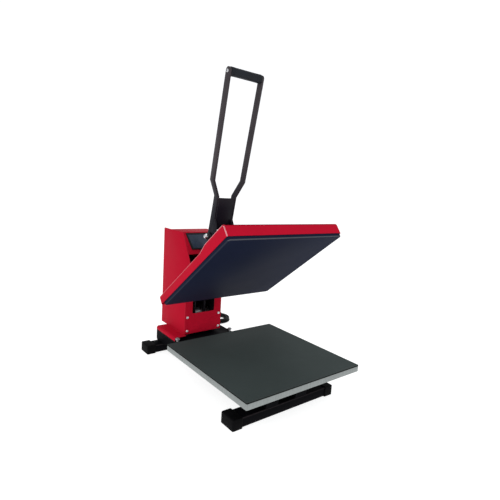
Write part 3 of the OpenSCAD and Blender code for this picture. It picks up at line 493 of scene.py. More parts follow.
def powder_coat(name, colour, rough, grain, peel, gleam, shine):
    """Powder coat: fine orange peel, slight patches of gloss and colour, paler on marked faces: edge wear,
    and the highlight painted on the heater cover's folds.
    """
    f = Finish(name, IOR=1.5, Specular_IOR_Level=shine)
    patch = f.noise(9.0, detail=3.0)
    fine = f.noise(grain, detail=3.0, rough=0.6)
    # Pale colour of worn edges and of the painted highlight.
    pale = tuple(0.55 * c + 0.45 * p for c, p in zip(colour, WEAR_AND_HIGHLIGHT_TINT))
    flecks = f.patchy(f.noise(60.0), 0.7 * gleam, gleam)
    rubbed = f.combined("MULTIPLY", f.rim(), flecks)
    gloss = f.patchy(patch, rough - 0.03, rough + 0.04)
    return f.coat(f.tinted(rubbed, f.varied(patch, colour, 0.94, 1.05), pale),
                  f.combined("ADD", gloss, f.patchy(fine, -0.03, 0.03)), f.relief(fine, peel, depth=0.0003))


def handle_powder_coat_painted_sheen(name):
    """Black powder coat of the handle, with a painted sheen: paler towards the top of the bars, in patches.
    """
    f = powder_coat(name, HANDLE_BLACK, rough=0.42, grain=700.0, peel=0.10, gleam=0.2, shine=0.10)
    base = f.shader.inputs["Base Color"]
    paint = base.links[0].from_socket
    height = f.add("SeparateXYZ", {0: f.place}).outputs["Z"]
    patches = f.patchy(f.noise(22.0), 0.7, 1.0)
    # Painted sheen: paler with height between 0.50 and 0.62 m.
    worn = f.combined("MULTIPLY", f.spread(height, 0.50, 0.62), patches)
    f.link(base, f.tinted(worn, paint, HANDLE_PAINTED_SHEEN))
    return f


def milled_aluminium(name, colour):
    """Dull milled aluminium: fine upright cutter lines along the plate's sides, cloudy oxide."""
    f = Finish(name, Metallic=0.35, Specular_IOR_Level=0.3)
    lines = f.noise((900.0, 900.0, 12.0), detail=3.0, rough=0.6)
    plain = f.varied(f.noise(14.0, detail=3.0), colour, 0.92, 1.06)
    marked = f.tinted(f.spread(lines, 0.35, 0.7, 0.0, 0.7), plain, times(colour, 0.72))
    return f.coat(f.tinted(f.rim(0.6), marked, times(colour, 1.25)),
                  f.patchy(lines, 0.48, 0.62), f.relief(lines, 0.2, depth=0.0002))


def nonstick_coating(name, colour):
    """Dark non-stick coating of the heating plate, faintly clouded, paler along the rim: a painted highlight
    on the front-facing rim, and light wear on the rest of it.
    """
    f = Finish(name, IOR=1.45, Specular_IOR_Level=0.01, Specular_Tint=(0.62, 0.74, 1.0, 1.0))
    cloud = f.noise(3.0, detail=4.0, rough=0.55)
    return f.coat(f.tinted(f.rim(), f.varied(cloud, colour, 0.85, 1.2), (0.13, 0.135, 0.145)),
                  f.patchy(cloud, 0.48, 0.58), f.relief(f.noise(1500.0), 0.08, depth=0.0002))


def silicone_foam(name, colour):
    """Matt silicone foam of the pad, finely pitted, its sides darkened by painted shade."""
    f = Finish(name, Specular_IOR_Level=0.14)
    cloud = f.noise(6.0, detail=4.0, rough=0.6)
    cells = f.add("TexVoronoi", {"Vector": f.place, "Scale": 700.0}).outputs["Distance"]
    pits = f.noise(1100.0)
    skin = f.relief(cells, 0.15, depth=0.0003)
    return f.coat(f.tinted(f.rim(), f.varied(cloud, colour, 0.92, 1.08), times(colour, 0.12)),
                  f.patchy(pits, 0.66, 0.8), f.relief(pits, 0.12, depth=0.0002, under=skin))


def moulded_rubber(name, colour, grain, rough, shine):
    """Matt moulded rubber with a fine grain, greyer where its edges are scuffed."""
    f = Finish(name, Specular_IOR_Level=shine)
    fine = f.noise(grain, detail=3.0, rough=0.6)
    plain = f.varied(f.noise(25.0), colour, 0.8, 1.25)
    return f.coat(f.tinted(f.rim(0.35), plain, times(colour, 2.2)),
                  f.patchy(fine, rough - 0.06, rough + 0.08), f.relief(fine, 0.18, depth=0.0003))


def moulded_plastic(name, colour, rough=0.45):
    """Moulded plastic with spark-eroded grain."""
    f = Finish(name, IOR=1.5, Specular_IOR_Level=0.2)
    fine = f.noise(1600.0, detail=3.0, rough=0.6)
    plain = f.varied(f.noise(40.0), colour, 0.85, 1.2)
    return f.coat(f.tinted(f.rim(0.3), plain, times(colour, 2.0)),
                  f.patchy(fine, rough - 0.05, rough + 0.06), f.relief(fine, 0.12, depth=0.0002))


def plated_steel(name, colour, rough, streak=0.1):
    """Plated steel with faint drawing lines."""
    f = Finish(name, Metallic=1.0)
    lines = f.noise((300.0, 300.0, 2600.0), detail=3.0)
    return f.coat(f.varied(f.noise(120.0, detail=3.0), colour, 0.88, 1.06),
                  f.patchy(lines, rough - 0.05, rough + 0.07), f.relief(lines, streak, depth=0.0001))


def screen_film(name, colour):
    """Smooth dark film of the switched-off screen."""
    f = Finish(name, IOR=1.49, Specular_IOR_Level=0.3)
    cloud = f.noise(22.0)
    return f.coat(f.varied(cloud, colour, 0.85, 1.15), f.patchy(cloud, 0.2, 0.3))


def pressed_fibre(name, colour, rough=0.85):
    """Pressed fibre or mica of the heater's lining."""
    f = Finish(name, Specular_IOR_Level=0.2)
    strands = f.noise((220.0, 60.0, 220.0), detail=4.0, rough=0.7)
    return f.coat(f.varied(strands, colour, 0.75, 1.1),
                  f.patchy(strands, rough - 0.1, rough), f.relief(strands, 0.3, depth=0.0005))


def woven_strap(name, colour):
    """Woven hook-and-loop strap."""
    f = Finish(name, Sheen_Weight=0.3)
    threads = {"Vector": f.place, "Scale": 260.0, "Distortion": 1.5, "Detail": 2.0}
    weave = f.add("TexWave", threads).outputs["Fac"]
    return f.coat(f.tinted(weave, times(colour, 0.7), times(colour, 2.0)),
                  f.spread(weave, 0.0, 1.0, 0.8, 0.92), f.relief(weave, 0.4, depth=0.0004))


def recorded(slot, share=1.0):
    """The record's colour of a slot, darker or lighter by a share."""
    return times(COLOUR_OF[slot], share)


FINISHES = {
    # On the red, gleam mostly sets the strength of the highlight painted on the heater cover's folds.
    "red_paint": lambda s: powder_coat(
        "red_powder_coat", s.red, rough=0.46, grain=420.0, peel=0.06, gleam=0.85, shine=0.011),
    "black_paint": lambda s: powder_coat(
        "black_powder_coat", s.black, rough=0.40, grain=700.0, peel=0.10, gleam=0.25, shine=0.16),
    # A darker copy of the black powder coat for the frame: painted shade under the platen.
    "frame_paint_painted_shade": lambda s: powder_coat(
        "frame_powder_coat_painted_shade", times(s.black, 0.4), rough=0.6, grain=560.0, peel=0.14, gleam=0.16, shine=0.025),
    # The handle's finish paints a paler sheen on its upper bars.
    "handle_paint": lambda s: handle_powder_coat_painted_sheen("handle_powder_coat_painted_sheen"),
    "foot_rubber": lambda s: moulded_rubber(
        "foot_rubber", recorded("foot_rubber", 0.24), grain=600.0, rough=0.6, shine=0.03),
    "bare_aluminium": lambda s: milled_aluminium("milled_aluminium", s.aluminium),
    "coated_plate": lambda s: nonstick_coating("nonstick_coating", s.coating),
    "pad_silicone": lambda s: silicone_foam("silicone_foam", s.pad),
    "zinc_steel": lambda s: plated_steel("zinc_plated_steel", recorded("zinc_steel", 0.55), rough=0.42),
    # A lighter copy of the zinc finish for the front panel screws: a painted highlight.
    "zinc_painted_highlight": lambda s: plated_steel("zinc_painted_highlight", recorded("zinc_steel", 1.5), rough=0.3),
    "dark_steel": lambda s: plated_steel("blackened_steel", recorded("dark_steel"), rough=0.45),
    "bright_chrome": lambda s: plated_steel(
        "bright_chrome", recorded("bright_chrome", 0.8), rough=0.22, streak=0.03),
    "black_plastic": lambda s: moulded_plastic("black_plastic", recorded("black_plastic")),
    "screen_film": lambda s: screen_film("screen_film", s.screen),
    "board_green": lambda s: moulded_plastic("solder_mask", recorded("board_green"), rough=0.4),
    "mica_brown": lambda s: pressed_fibre("pressed_mica", recorded("mica_brown"), rough=0.7),
    "lining_fibre": lambda s: pressed_fibre("lining_fibre", recorded("lining_fibre")),
    "grip_rubber": lambda s: moulded_rubber("grip_rubber", GRIP_BLACK, grain=1200.0, rough=0.46, shine=0.18),
    "rocker_plastic": lambda s: moulded_plastic("rocker_plastic", recorded("rocker_plastic"), rough=0.3),
    "cord_rubber": lambda s: moulded_rubber(
        "cord_sheath", recorded("cord_rubber", 0.4), grain=700.0, rough=0.5, shine=0.14),
    "tie_fabric": lambda s: woven_strap("woven_strap", recorded("tie_fabric")),
}
MADE = {}


def finish_of(key):
    """The material of a finish, made once."""
    if key not in MADE:
        MADE[key] = FINISHES[key](bpy.context.scene.press_finish).material
    return MADE[key]


class PRESS_OT_stage(bpy.types.Operator):
    """Floor, soft light and the camera at the photograph's place"""

    bl_idname = "press.stage"
    bl_label = "Stage"

    def execute(self, context):
        settings = context.scene.press_stage
        floor = plane("studio_floor", FLOOR_SIZE)
        f = Finish("studio_floor", Roughness=0.9, Specular_IOR_Level=0.05, Emission_Color=(1.0, 1.0, 1.0),
                   Emission_Strength=0.8)
        cloud = f.noise(0.8, detail=3.0)
        f.link(f.shader.inputs["Base Color"], f.varied(cloud, settings.floor, 0.995, 1.0))
        floor.data.materials.append(f.material)

        world = bpy.data.worlds.new("studio")
        world.use_nodes = True
        context.scene.world = world
        backdrop = world.node_tree.nodes["Background"]
        backdrop.inputs["Color"].default_value = WORLD_TINT
        sky = ShaderTree(world.node_tree)
        seen = sky.add("LightPath").outputs["Is Camera Ray"]
        power = sky.spread(seen, 0.0, 1.0, settings.world_power, BACKDROP_POWER)
        sky.link(backdrop.inputs["Strength"], power)

        for name, where, size, share in LIGHTS:
            bpy.ops.object.light_add(type="AREA", location=where)
            light = added(name)
            light.data.shape = "DISK"
            light.data.size = size
            light.data.energy = settings.key_power * share
            aim = LIGHT_AIM - Vector(where)
            light.rotation_euler = aim.to_track_quat("-Z", "Y").to_euler()

        turn, rise, roll = (math.radians(angle) for angle in (CAMERA_TURN, CAMERA_RISE, CAMERA_ROLL))
        back = Vector((math.sin(turn) * math.cos(rise), -math.cos(turn) * math.cos(rise), math.sin(rise)))
        side = Vector((math.cos(turn), math.sin(turn), 0.0))
        up = back.cross(side)
        right = side * math.cos(roll) + up * math.sin(roll)
        above = up * math.cos(roll) - side * math.sin(roll)
        bpy.ops.object.camera_add(location=CAMERA_PLACE)
        camera = added("photo_camera")
        camera.rotation_euler = Matrix((right, above, back)).transposed().to_euler()
        camera.data.sensor_width = SENSOR_WIDTH
        camera.data.lens = settings.lens
        camera.data.shift_x, camera.data.shift_y = CAMERA_SHIFT
        camera.data.clip_start = CLIP_START
        context.scene.camera = camera
        context.scene.view_settings.view_transform = "Standard"
        return {"FINISHED"}


def lead_route():
    """The gland's mouth, and the lead's points from there to the coil: in mm, y from the mouth."""
    low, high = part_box("cord_gland")
    mouth = Vector((low.x + high.x, 0.0, low.z + high.z)) / 2 + Vector((0.0, high.y, 0.0))
    route = [
        (40, 0, 104), (40, 10, 104), (40, 27, 100), (40, 41, 89), (40, 50, 73), (40, 53, 55), (41, 55, 38),
        (46, 57, 22), (57, 59, 11), (74, 60, 6), (94, 60, 5), (120, 60, 5), (150, 60, 5), (180, 60, 5),
        (210, 60, 5), (228, 60, 5)]
    return mouth, [Vector((x * MM, mouth.y + y * MM, z * MM)) for x, y, z in route]


def smoothed(points):
    """Points of a smooth curve through the given points."""
    between = 4
    made = []
    for i, (first, last) in enumerate(zip(points, points[1:])):
        before, after = points[max(i - 1, 0)], points[min(i + 2, len(points) - 1)]
        for k in range(between):
            t = k / between
            a = 2 * first
            b = (last - before) * t
            c = (2 * before - 5 * first + 4 * last - after) * t * t
            d = (3 * first - before - 3 * last + after) * t * t * t
            made.append((a + b + c + d) / 2)
    made.append(points[-1])
    return made


def eased(share):
    """A share that starts and ends gently."""
    return (1 - math.cos(math.pi * share)) / 2


def coil_route(settings, mouth):
    """The wound part: inwards on the floor, up one layer and outwards again, then straight to the plug."""
    centre = Vector((COIL_X, mouth.y + COIL_Y, 0.0))
    first, step, turns = settings.coil_radius, settings.coil_step, settings.turns
    low, high = CORD_REST, CORD_REST + settings.layer_height
    inner = first - step * turns
    parts = 36
    half = parts // 2
    tail_start, tail_long, plug_height, tail_parts = 0.008, 0.09, 0.018, 10

    def at(angle, radius, height):
        turn = math.radians(angle - 90.0)
        return centre + Vector((radius * math.cos(turn), radius * math.sin(turn), height))

    points = [at(360.0 * i / parts, first - step * i / parts, low) for i in range(parts * turns + 1)]
    for i in range(1, half):
        dip = step * min(i, half - i) / parts
        points.append(at(180.0 * i / half, inner - dip, low + settings.layer_height * eased(i / half)))
    points += [at(180.0 + 360.0 * i / parts, inner + step * i / parts, high)
               for i in range(parts * turns + 1)]
    end = at(180.0, first, high) - Vector((tail_start, 0.0, 0.0))
    shares = [i / tail_parts for i in range(tail_parts + 1)]
    tail = [end + Vector((-tail_long * t, 0.0, (plug_height - end.z) * eased(t))) for t in shares]
    return points, tail


def cord_curve(name, points, radius):
    """A round cord through points."""
    bpy.ops.curve.primitive_nurbs_path_add()
    cord = added(name)
    cord.location = (0.0, 0.0, 0.0)
    data = cord.data
    data.splines.clear()
    spline = data.splines.new("POLY")
    spline.points.add(len(points) - 1)
    for point, place in zip(spline.points, points):
        point.co = (*place, 1.0)
    data.dimensions = "3D"
    data.bevel_depth = radius
    data.bevel_resolution = 4
    data.use_fill_caps = True
    return cord


class PRESS_OT_mains_lead(bpy.types.Operator):
    """Mains lead: one round cord from the ribbed gland into a tied coil, with its plug and strap"""

    bl_idname = "press.mains_lead"
    bl_label = "Mains lead"

    def execute(self, context):
        settings = context.scene.press_cord
        mouth, lead = lead_route()
        coil, tail = coil_route(settings, mouth)
        points = smoothed(lead) + coil + tail
        self.gland(mouth)
        plug, pins = self.plug(points[-1])
        tie = self.tie(settings, mouth)
        cord = cord_curve("mains_cord", points, settings.diameter / 2)
        cord.data.materials.append(finish_of("cord_rubber"))
        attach(cord, "base")
        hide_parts("mains_lead", "mains_coil", "mains_tail")
        return {"FINISHED"}

    def gland(self, mouth):
        """Tapered strain relief with ribs, on a round flange."""
        low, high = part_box("cord_gland")
        long = (high.y - low.y) / MM
        rings = [(9.6, 0.0), (10.6, 0.4), (11.0, 1.0), (11.0, 3.2), (10.5, 3.9), (8.4, 4.3), (8.0, 5.0)]
        start, ribs = 5.4, 6
        pitch = (long - 1.2 - start) / ribs
        for i in range(ribs):
            foot = start + i * pitch
            wide = 8.0 - 2.7 * i / ribs
            rings += [(wide, foot), (wide, foot + pitch * 0.5), (wide - 1.5, foot + pitch * 0.62),
                      (wide - 1.6, foot + pitch * 0.9)]
        rings += [(4.6, long - 1.0), (3.9, long)]
        gland = turned("cord_gland_ribbed", rings, 32, BACK, (mouth.x, low.y, mouth.z))
        belongs(gland, "cord_gland")

    def plug(self, end):
        """Round moulded plug with a ribbed neck, and its two plated pins."""
        rings = [(3.9, 0.0), (5.6, 0.6), (6.0, 2.4)]
        for i in range(5):
            foot = 3.4 + 3.6 * i
            wide = 6.4 + 0.55 * i
            rings += [(wide, foot), (wide, foot + 2.0), (wide - 1.0, foot + 2.4), (wide - 1.0, foot + 3.2)]
        rings += [(9.6, 22.0), (12.8, 25.6), (15.8, 29.4), (17.4, 32.6), (18.0, 35.4), (18.0, 40.0),
                  (17.3, 40.6), (17.3, 42.0), (18.0, 42.6), (18.0, 46.2), (17.3, 46.8), (17.3, 48.2),
                  (18.0, 48.8), (18.0, 53.4), (17.4, 54.8), (16.2, 56.0)]
        body = belongs(turned("mains_plug_body", rings, 40, LEFT, end), "mains_plug")
        pin = turned("plug_pin", [(2.4, -4.0), (2.4, 17.4), (2.0, 18.6), (1.2, 19.0)], 20)
        apart = 0.0095
        face = end - Vector((rings[-1][1] * MM, 0.0, 0.0))
        pins = [laid(copied(pin), LEFT, face + Vector((0.0, side, 0.0))) for side in (-apart, apart)]
        bpy.data.objects.remove(pin)
        pins = joined("mains_plug_pins", pins)
        pins.data.materials.append(finish_of("zinc_steel"))
        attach(pins, "base")
        return body, pins

    def tie(self, settings, mouth):
        """Woven strap round the coil's turns, its loose end lapped over the top."""
        gap, thick, wide, bend, slack, dip = 0.0002, 0.0010, 0.014, 0.0036, 0.0014, 0.25
        lap_share, lap_wide, lap_thick, lap_lift, lap_gap = 0.55, 0.92, 0.8, 0.0022, 0.0001
        round_cord = settings.diameter / 2
        inner = settings.coil_radius - settings.coil_step * (settings.turns + dip) - round_cord - slack
        outer = settings.coil_radius + round_cord
        low, high = CORD_REST - round_cord, CORD_REST + settings.layer_height + round_cord
        strap = plane("cord_strap")
        strap.scale = (outer - inner + 2 * gap, high - low + 2 * gap, 1.0)
        settle(strap)
        edit(strap)
        bpy.ops.mesh.delete(type="ONLY_FACE")
        bpy.ops.mesh.select_all(action="SELECT")
        bpy.ops.mesh.bevel(offset=bend, segments=5, affect="VERTICES")
        bpy.ops.mesh.select_all(action="SELECT")
        drawn_up(wide)
        face_outwards()
        close()
        thicken(strap, thick, 1.0)
        lap = plane("strap_lap")
        long = (outer - inner) * lap_share
        lap.scale = (long, wide * lap_wide, 1.0)
        settle(lap)
        edit(lap)
        bpy.ops.mesh.subdivide(number_cuts=7)
        close()
        for vertex in lap.data.vertices:
            vertex.co.z = lap_lift * (vertex.co.x / long + 0.5) ** 3
        thicken(lap, thick * lap_thick, 1.0)
        top = (high - low) / 2 + gap + thick + lap_gap
        flat = Matrix.Rotation(math.radians(-90.0), 4, "X")
        lap.matrix_world = Matrix.Translation((0.0, top, wide / 2)) @ flat
        settle(lap)
        strap = joined("cord_strap", [strap, lap])
        middle = Vector((COIL_X, mouth.y + COIL_Y, (low + high) / 2))
        across = Matrix.Translation(((inner + outer) / 2, wide / 2, 0.0))
        stand = Matrix.Rotation(math.radians(45.0), 4, "Z") @ across
        strap.matrix_world = Matrix.Translation(middle) @ stand @ Matrix.Rotation(math.radians(90.0), 4, "X")
        settle(strap)
        return belongs(smooth(strap, degrees=40.0), "cord_tie")


class PRESS_OT_pad(bpy.types.Operator):
    """Silicone pad: a thin foam sheet with rounded corners and rim, a little uneven on top"""

    bl_idname = "press.pad"
    bl_label = "Silicone pad"

    def execute(self, context):
        low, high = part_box("silicone_pad")
        size = high - low
        parts, corner_round, rim_round, uneven, near = 38, 0.003, 0.0008, 0.00009, 1e-6
        bpy.ops.mesh.primitive_grid_add(x_subdivisions=parts, y_subdivisions=parts, size=1.0)
        pad = added("silicone_pad_foam")
        pad.scale = (size.x, size.y, 1.0)
        pad.location = ((low.x + high.x) / 2, (low.y + high.y) / 2, low.z)
        settle(pad)
        edit(pad)
        drawn_up(size.z)
        face_outwards()
        mesh = bmesh.from_edit_mesh(pad.data)

        def corner(edge):
            one, two = edge.verts
            return abs(one.co.z - two.co.z) > size.z / 2 and sharp(edge, 60.0)

        def top_rim(edge):
            return sharp(edge, 60.0) and all(v.co.z > high.z - near for v in edge.verts)

        for test, offset, segments in ((corner, corner_round, 5), (top_rim, rim_round, 3)):
            pick_edges(mesh, test)
            bpy.ops.mesh.bevel(offset=offset, segments=segments)
            mesh = bmesh.from_edit_mesh(pad.data)
        for vertex in mesh.verts:
            x, y, z = vertex.co
            if z > high.z - near:
                wave = (math.sin(31.0 * x + 11.0 * y) + math.sin(-17.0 * x + 26.0 * y + 1.3)
                        + math.sin(47.0 * x - 39.0 * y + 0.6))
                vertex.co.z = z - uneven * (3.0 + wave)
        close()
        # The sides are marked for painted shade: the foam finish turns them nearly black.
        mark_wear(pad, [1.0 if abs(face.normal.z) < 0.6 else 0.0 for face in pad.data.polygons])
        smooth(pad, degrees=50.0)
        belongs(pad, "silicone_pad")
        return {"FINISHED"}


class PRESS_OT_grip(bpy.types.Operator):
    """Foam rubber grip with rounded, slightly flared ends"""

    bl_idname = "press.grip"
    bl_label = "Handle grip"

    def execute(self, context):
        low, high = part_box("handle_grip")
        half = (high.x - low.x) / 2 / MM
        widest = (high.z - low.z) / 2 / MM
        insets = ((2.4, 0.0), (0.9, 0.5), (0.0, 1.7), (0.0, 4.6), (0.7, 5.2), (0.7, 6.2), (0.1, 6.8),
                  (0.1, 9.4), (0.7, 10.0), (0.7, 11.0), (0.2, 11.6), (0.4, 24.0), (0.35, 38.0))
        side = [(widest - inset, half - along) for inset, along in insets]
        rings = [(r, -x) for r, x in side] + [(r, x) for r, x in reversed(side)]
        grip = turned("handle_grip_foam", rings, 48, RIGHT, (low + high) / 2)
        belongs(grip, "handle_grip")
        return {"FINISHED"}


def pan_screw(name):
    """Pan-head screw with a cross recess, standing on +Z."""
    rings = [(2.0, -10.0), (2.0, -0.1), (4.6, 0.0), (4.6, 0.5), (4.35, 1.2), (3.7, 2.05), (2.6, 2.65),
             (1.2, 2.95)]
    screw = turned(name, rings, 28)
    for size in ((5.0, 1.15, 3.0), (1.15, 5.0, 3.0)):
        carved(screw, bar_cutter(size, 2.9))
    return screw


def button_screw(name):
    """Button-head screw with a hexagon socket, standing on +Z."""
    rings = [(2.4, -20.5), (2.4, -0.1), (5.0, 0.0), (5.0, 0.9), (4.75, 1.7), (4.2, 2.5), (3.3, 3.1),
             (2.3, 3.4)]
    return carved(turned(name, rings, 32), turned("socket_cutter", [(1.75, 1.6), (1.75, 4.4)], 6))


def hexagon(name, flats, low, high, worn=0.93):
    """Hexagon of a bolt or nut with chamfered corners, between two heights in mm."""
    corner = flats / math.sqrt(3.0)
    chamfer = 0.12 * (high - low)
    rings = [(corner * worn, low), (corner, low + chamfer), (corner, high - chamfer), (corner * worn, high)]
    return turned(name, rings, 6)


class PRESS_OT_fasteners(bpy.types.Operator):
    """Screws, bolts, nuts and studs, each kind modelled once and copied"""

    bl_idname = "press.fasteners"
    bl_label = "Fasteners"

    def execute(self, context):
        self.panel_screws()
        self.grip_screws()
        self.pivot_nuts()
        self.frame_bolts()
        self.studs()
        return {"FINISHED"}

    def placed(self, name, pattern, places):
        """Copies of a fastener at (place, axis, spin), made one piece."""
        twins = [laid(copied(pattern), axis, at, spin) for at, axis, spin in places]
        bpy.data.objects.remove(pattern)
        return joined(name, twins)

    def panel_screws(self):
        low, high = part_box("panel_screws")
        head, radius = 3.0 * MM, 4.6 * MM
        left, right, foot, top = low.x + radius, high.x - radius, low.z + radius, high.z - radius
        corners = ((left, foot, 0.3), (left, top, 1.1), (right, foot, 0.7), (right, top, 0.15))
        places = [(Vector((x, low.y + head, z)), FRONT, spin) for x, z, spin in corners]
        screws = self.placed("front_panel_screws", pan_screw("panel_screw"), places)
        # The front screws take the lighter zinc that paints their highlights.
        belongs(screws, "panel_screws", "zinc_painted_highlight")
        low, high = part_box("rear_cover")
        inset = 7.5 * MM
        left, right, foot, top = low.x + inset, high.x - inset, low.z + 14 * MM, low.z + 190 * MM
        corners = ((left, foot, 0.5), (right, foot, 0.2), (left, top, 0.9), (right, top, 0.0))
        places = [(Vector((x, high.y, z)), BACK, spin) for x, z, spin in corners]
        screws = self.placed("rear_cover_screws", pan_screw("rear_screw"), places)
        screws.data.materials.append(finish_of("zinc_steel"))
        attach(screws, "base")

    def grip_screws(self):
        low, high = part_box("grip_screws")
        head = 3.4 * MM
        y, z = (low.y + high.y) / 2, (low.z + high.z) / 2
        places = [(Vector((high.x - head, y, z)), RIGHT, 0.2), (Vector((low.x + head, y, z)), LEFT, 0.45)]
        belongs(self.placed("grip_screw_heads", button_screw("grip_screw"), places), "grip_screws")

    def pivot_nuts(self):
        low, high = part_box("handle_pivot_bolt")
        y, z = (low.y + high.y) / 2, (low.z + high.z) / 2
        collar = [(6.0, 0.0), (11.4, 0.0), (12.0, 0.6), (12.0, 4.2), (11.3, 5.0), (9.4, 5.2), (9.4, 7.6),
                  (9.0, 8.0)]
        dome = [(6.9, 14.0), (6.8, 15.2), (6.5, 16.4), (5.8, 17.7), (4.6, 18.8), (3.1, 19.5), (1.6, 19.78),
                (0.7, 19.8)]
        face = high.x - dome[-1][1] * MM
        collar = turned("pivot_collar", [(6.0, -face / MM), *collar], 48)
        nut = hexagon("pivot_nut", 14.0, 8.0, 14.5, 0.92)
        nut = joined("pivot_nut", [nut, turned("pivot_dome", dome, 40)])
        places = [(Vector((face, y, z)), RIGHT, 0.35), (Vector((-face, y, z)), LEFT, 0.9)]
        collars = self.placed("handle_pivot_collars", collar, places)
        collars.data.materials.append(finish_of("dark_steel"))
        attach(collars, "handle")
        nuts = self.placed("handle_pivot_nuts", nut, places)
        belongs(smooth(nuts), "handle_pivot_bolt")

    def frame_bolts(self):
        low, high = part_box("pedestal_bolts")
        y = (low.y + high.y) / 2
        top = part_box("pedestal_plate")[1].z
        shank = turned("bolt_end", [(4.0, -12.0), (4.0, 6.6), (3.6, 7.3), (2.6, 7.5)], 24)
        bolt = joined("pedestal_bolt", [hexagon("bolt_nut", M8_FLATS, 0.0, 5.5), shank])
        span = high.x - M8_CORNER * MM
        places = [(Vector((x, y, top)), UP, spin) for x, spin in ((-span, 0.4), (span, 0.1))]
        belongs(smooth(self.placed("pedestal_nuts", bolt, places)), "pedestal_bolts")
        low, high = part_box("platen_bolts")
        long = (high.z - low.z) / MM
        shank = turned("platen_bolt_shank", [(4.0, 6.0), (4.0, long - 0.6), (3.4, long)], 24)
        bolt = joined("platen_bolt", [hexagon("platen_bolt_head", M8_FLATS, 0.0, 6.5), shank])
        side, flat = M8_CORNER * MM, M8_FLATS / 2 * MM
        places = [(Vector((x, y, low.z)), UP, 0.0)
                  for x in (low.x + side, high.x - side) for y in (low.y + flat, high.y - flat)]
        belongs(smooth(self.placed("platen_hex_bolts", bolt, places)), "platen_bolts")

    def studs(self):
        low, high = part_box("heater_studs")
        half = 8.0 * MM
        stud = turned("stud_rod", [(4.0, -32.0), (4.0, 11.4), (3.5, 12.0)], 24)
        washer = turned("stud_washer", [(7.6, 0.0), (8.0, 0.3), (8.0, 1.3), (7.6, 1.6)], 32)
        stud = joined("heater_stud", [stud, washer, hexagon("stud_nut", M8_FLATS, 1.6, 8.1)])
        places = [(Vector((x, seat.y, seat.z)), UPRIGHT, 0.3 + 5.0 * seat.y)
                  for x in (low.x + half, high.x - half) for seat in self.seats()]
        belongs(smooth(self.placed("heater_stud_nuts", stud, places)), "heater_studs")

    def seats(self):
        """Where the studs stand on the arms' foot plate, in the middle plane."""
        top = max(UPRIGHT.dot(v.co) for v in NODES["arm_foot_plate"].data.vertices)
        places = [ALONG.dot(v.co) for v in NODES["heater_studs"].data.vertices]
        middle = (min(places) + max(places)) / 2
        for group in ([p for p in places if p < middle], [p for p in places if p > middle]):
            yield UPRIGHT * top + ALONG * (min(group) + max(group)) / 2


class PRESS_OT_spring(bpy.types.Operator):
    """Lift spring under the arms' tail rod, with closed end turns"""

    bl_idname = "press.spring"
    bl_label = "Lift spring"

    def execute(self, context):
        low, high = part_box("lift_spring")
        wire, turns, parts, end_turns, squeeze = 4.0 * MM, 7.0, 30, 1.2, 0.035
        radius = (high.x - low.x - wire) / 2
        first, last = low.z + wire / 2, high.z - wire / 2
        middle = Vector((0.0, (low.y + high.y) / 2, 0.0))
        steps = int(turns * parts)
        points = []
        for i in range(steps + 1):
            share = i / steps
            flat = min(1.0, share * turns / end_turns, (1.0 - share) * turns / end_turns)
            ease = share + squeeze * (1.0 - flat) * (1.0 if share > 0.5 else -1.0)
            angle = 2 * math.pi * turns * share
            height = first + (last - first) * max(0.0, min(1.0, ease))
            points.append(middle + Vector((radius * math.cos(angle), radius * math.sin(angle), height)))
        spring = cord_curve("lift_spring_wire", points, wire / 2)
        only(spring)
        bpy.ops.object.convert(target="MESH")
        spring = smooth(added("lift_spring_wire"), degrees=50.0)
        spring.data.materials.clear()
        spring.data.materials.append(finish_of("zinc_steel"))
        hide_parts("lift_spring")
        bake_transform(spring)
        return {"FINISHED"}


def dressed(names, width, finish=None, **looks):
    """Rounded copies of CAD nodes, with their slot's finish or another one."""
    for node in names:
        belongs(softened(node, width, **looks), node, finish)


def outward(edge):
    """True on an edge that stands out of its solid."""
    return edge.is_convex


class PRESS_OT_frame(bpy.types.Operator):
    """Box-tube beams and rails, rubber feet, pedestal and the bars that carry the lower platen"""

    bl_idname = "press.frame"
    bl_label = "Base frame"

    def execute(self, context):
        settings = context.scene.press_finish
        tube_long, near = 0.1, 0.0003

        def long_edge(edge):
            return edge.is_convex and edge.calc_length() > tube_long

        # Tubes, pedestal and platen bars take the darker black that paints the shade under the platen.
        dressed(("front_beam", "rear_beam", "base_rail_left", "base_rail_right"), settings.tube_edge,
                "frame_paint_painted_shade", segments=3, angle=60.0, where=long_edge)
        for node in ("foot_front_left", "foot_front_right", "foot_rear_left", "foot_rear_right"):
            low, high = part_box(node)
            mouth = high.x if high.x < 0.0 else low.x

            def shell_edge(edge):
                middle = (edge.verts[0].co + edge.verts[1].co) / 2
                return edge.is_convex and abs(middle.x - mouth) > near

            dressed((node,), settings.rubber_edge, segments=3, angle=25.0, where=shell_edge)
        dressed(("pedestal_plate", "pedestal_sides", "platen_bar_front", "platen_bar_rear"),
                settings.plate_edge, "frame_paint_painted_shade")
        dressed(("platen_spacers",), settings.small_edge)
        return {"FINISHED"}


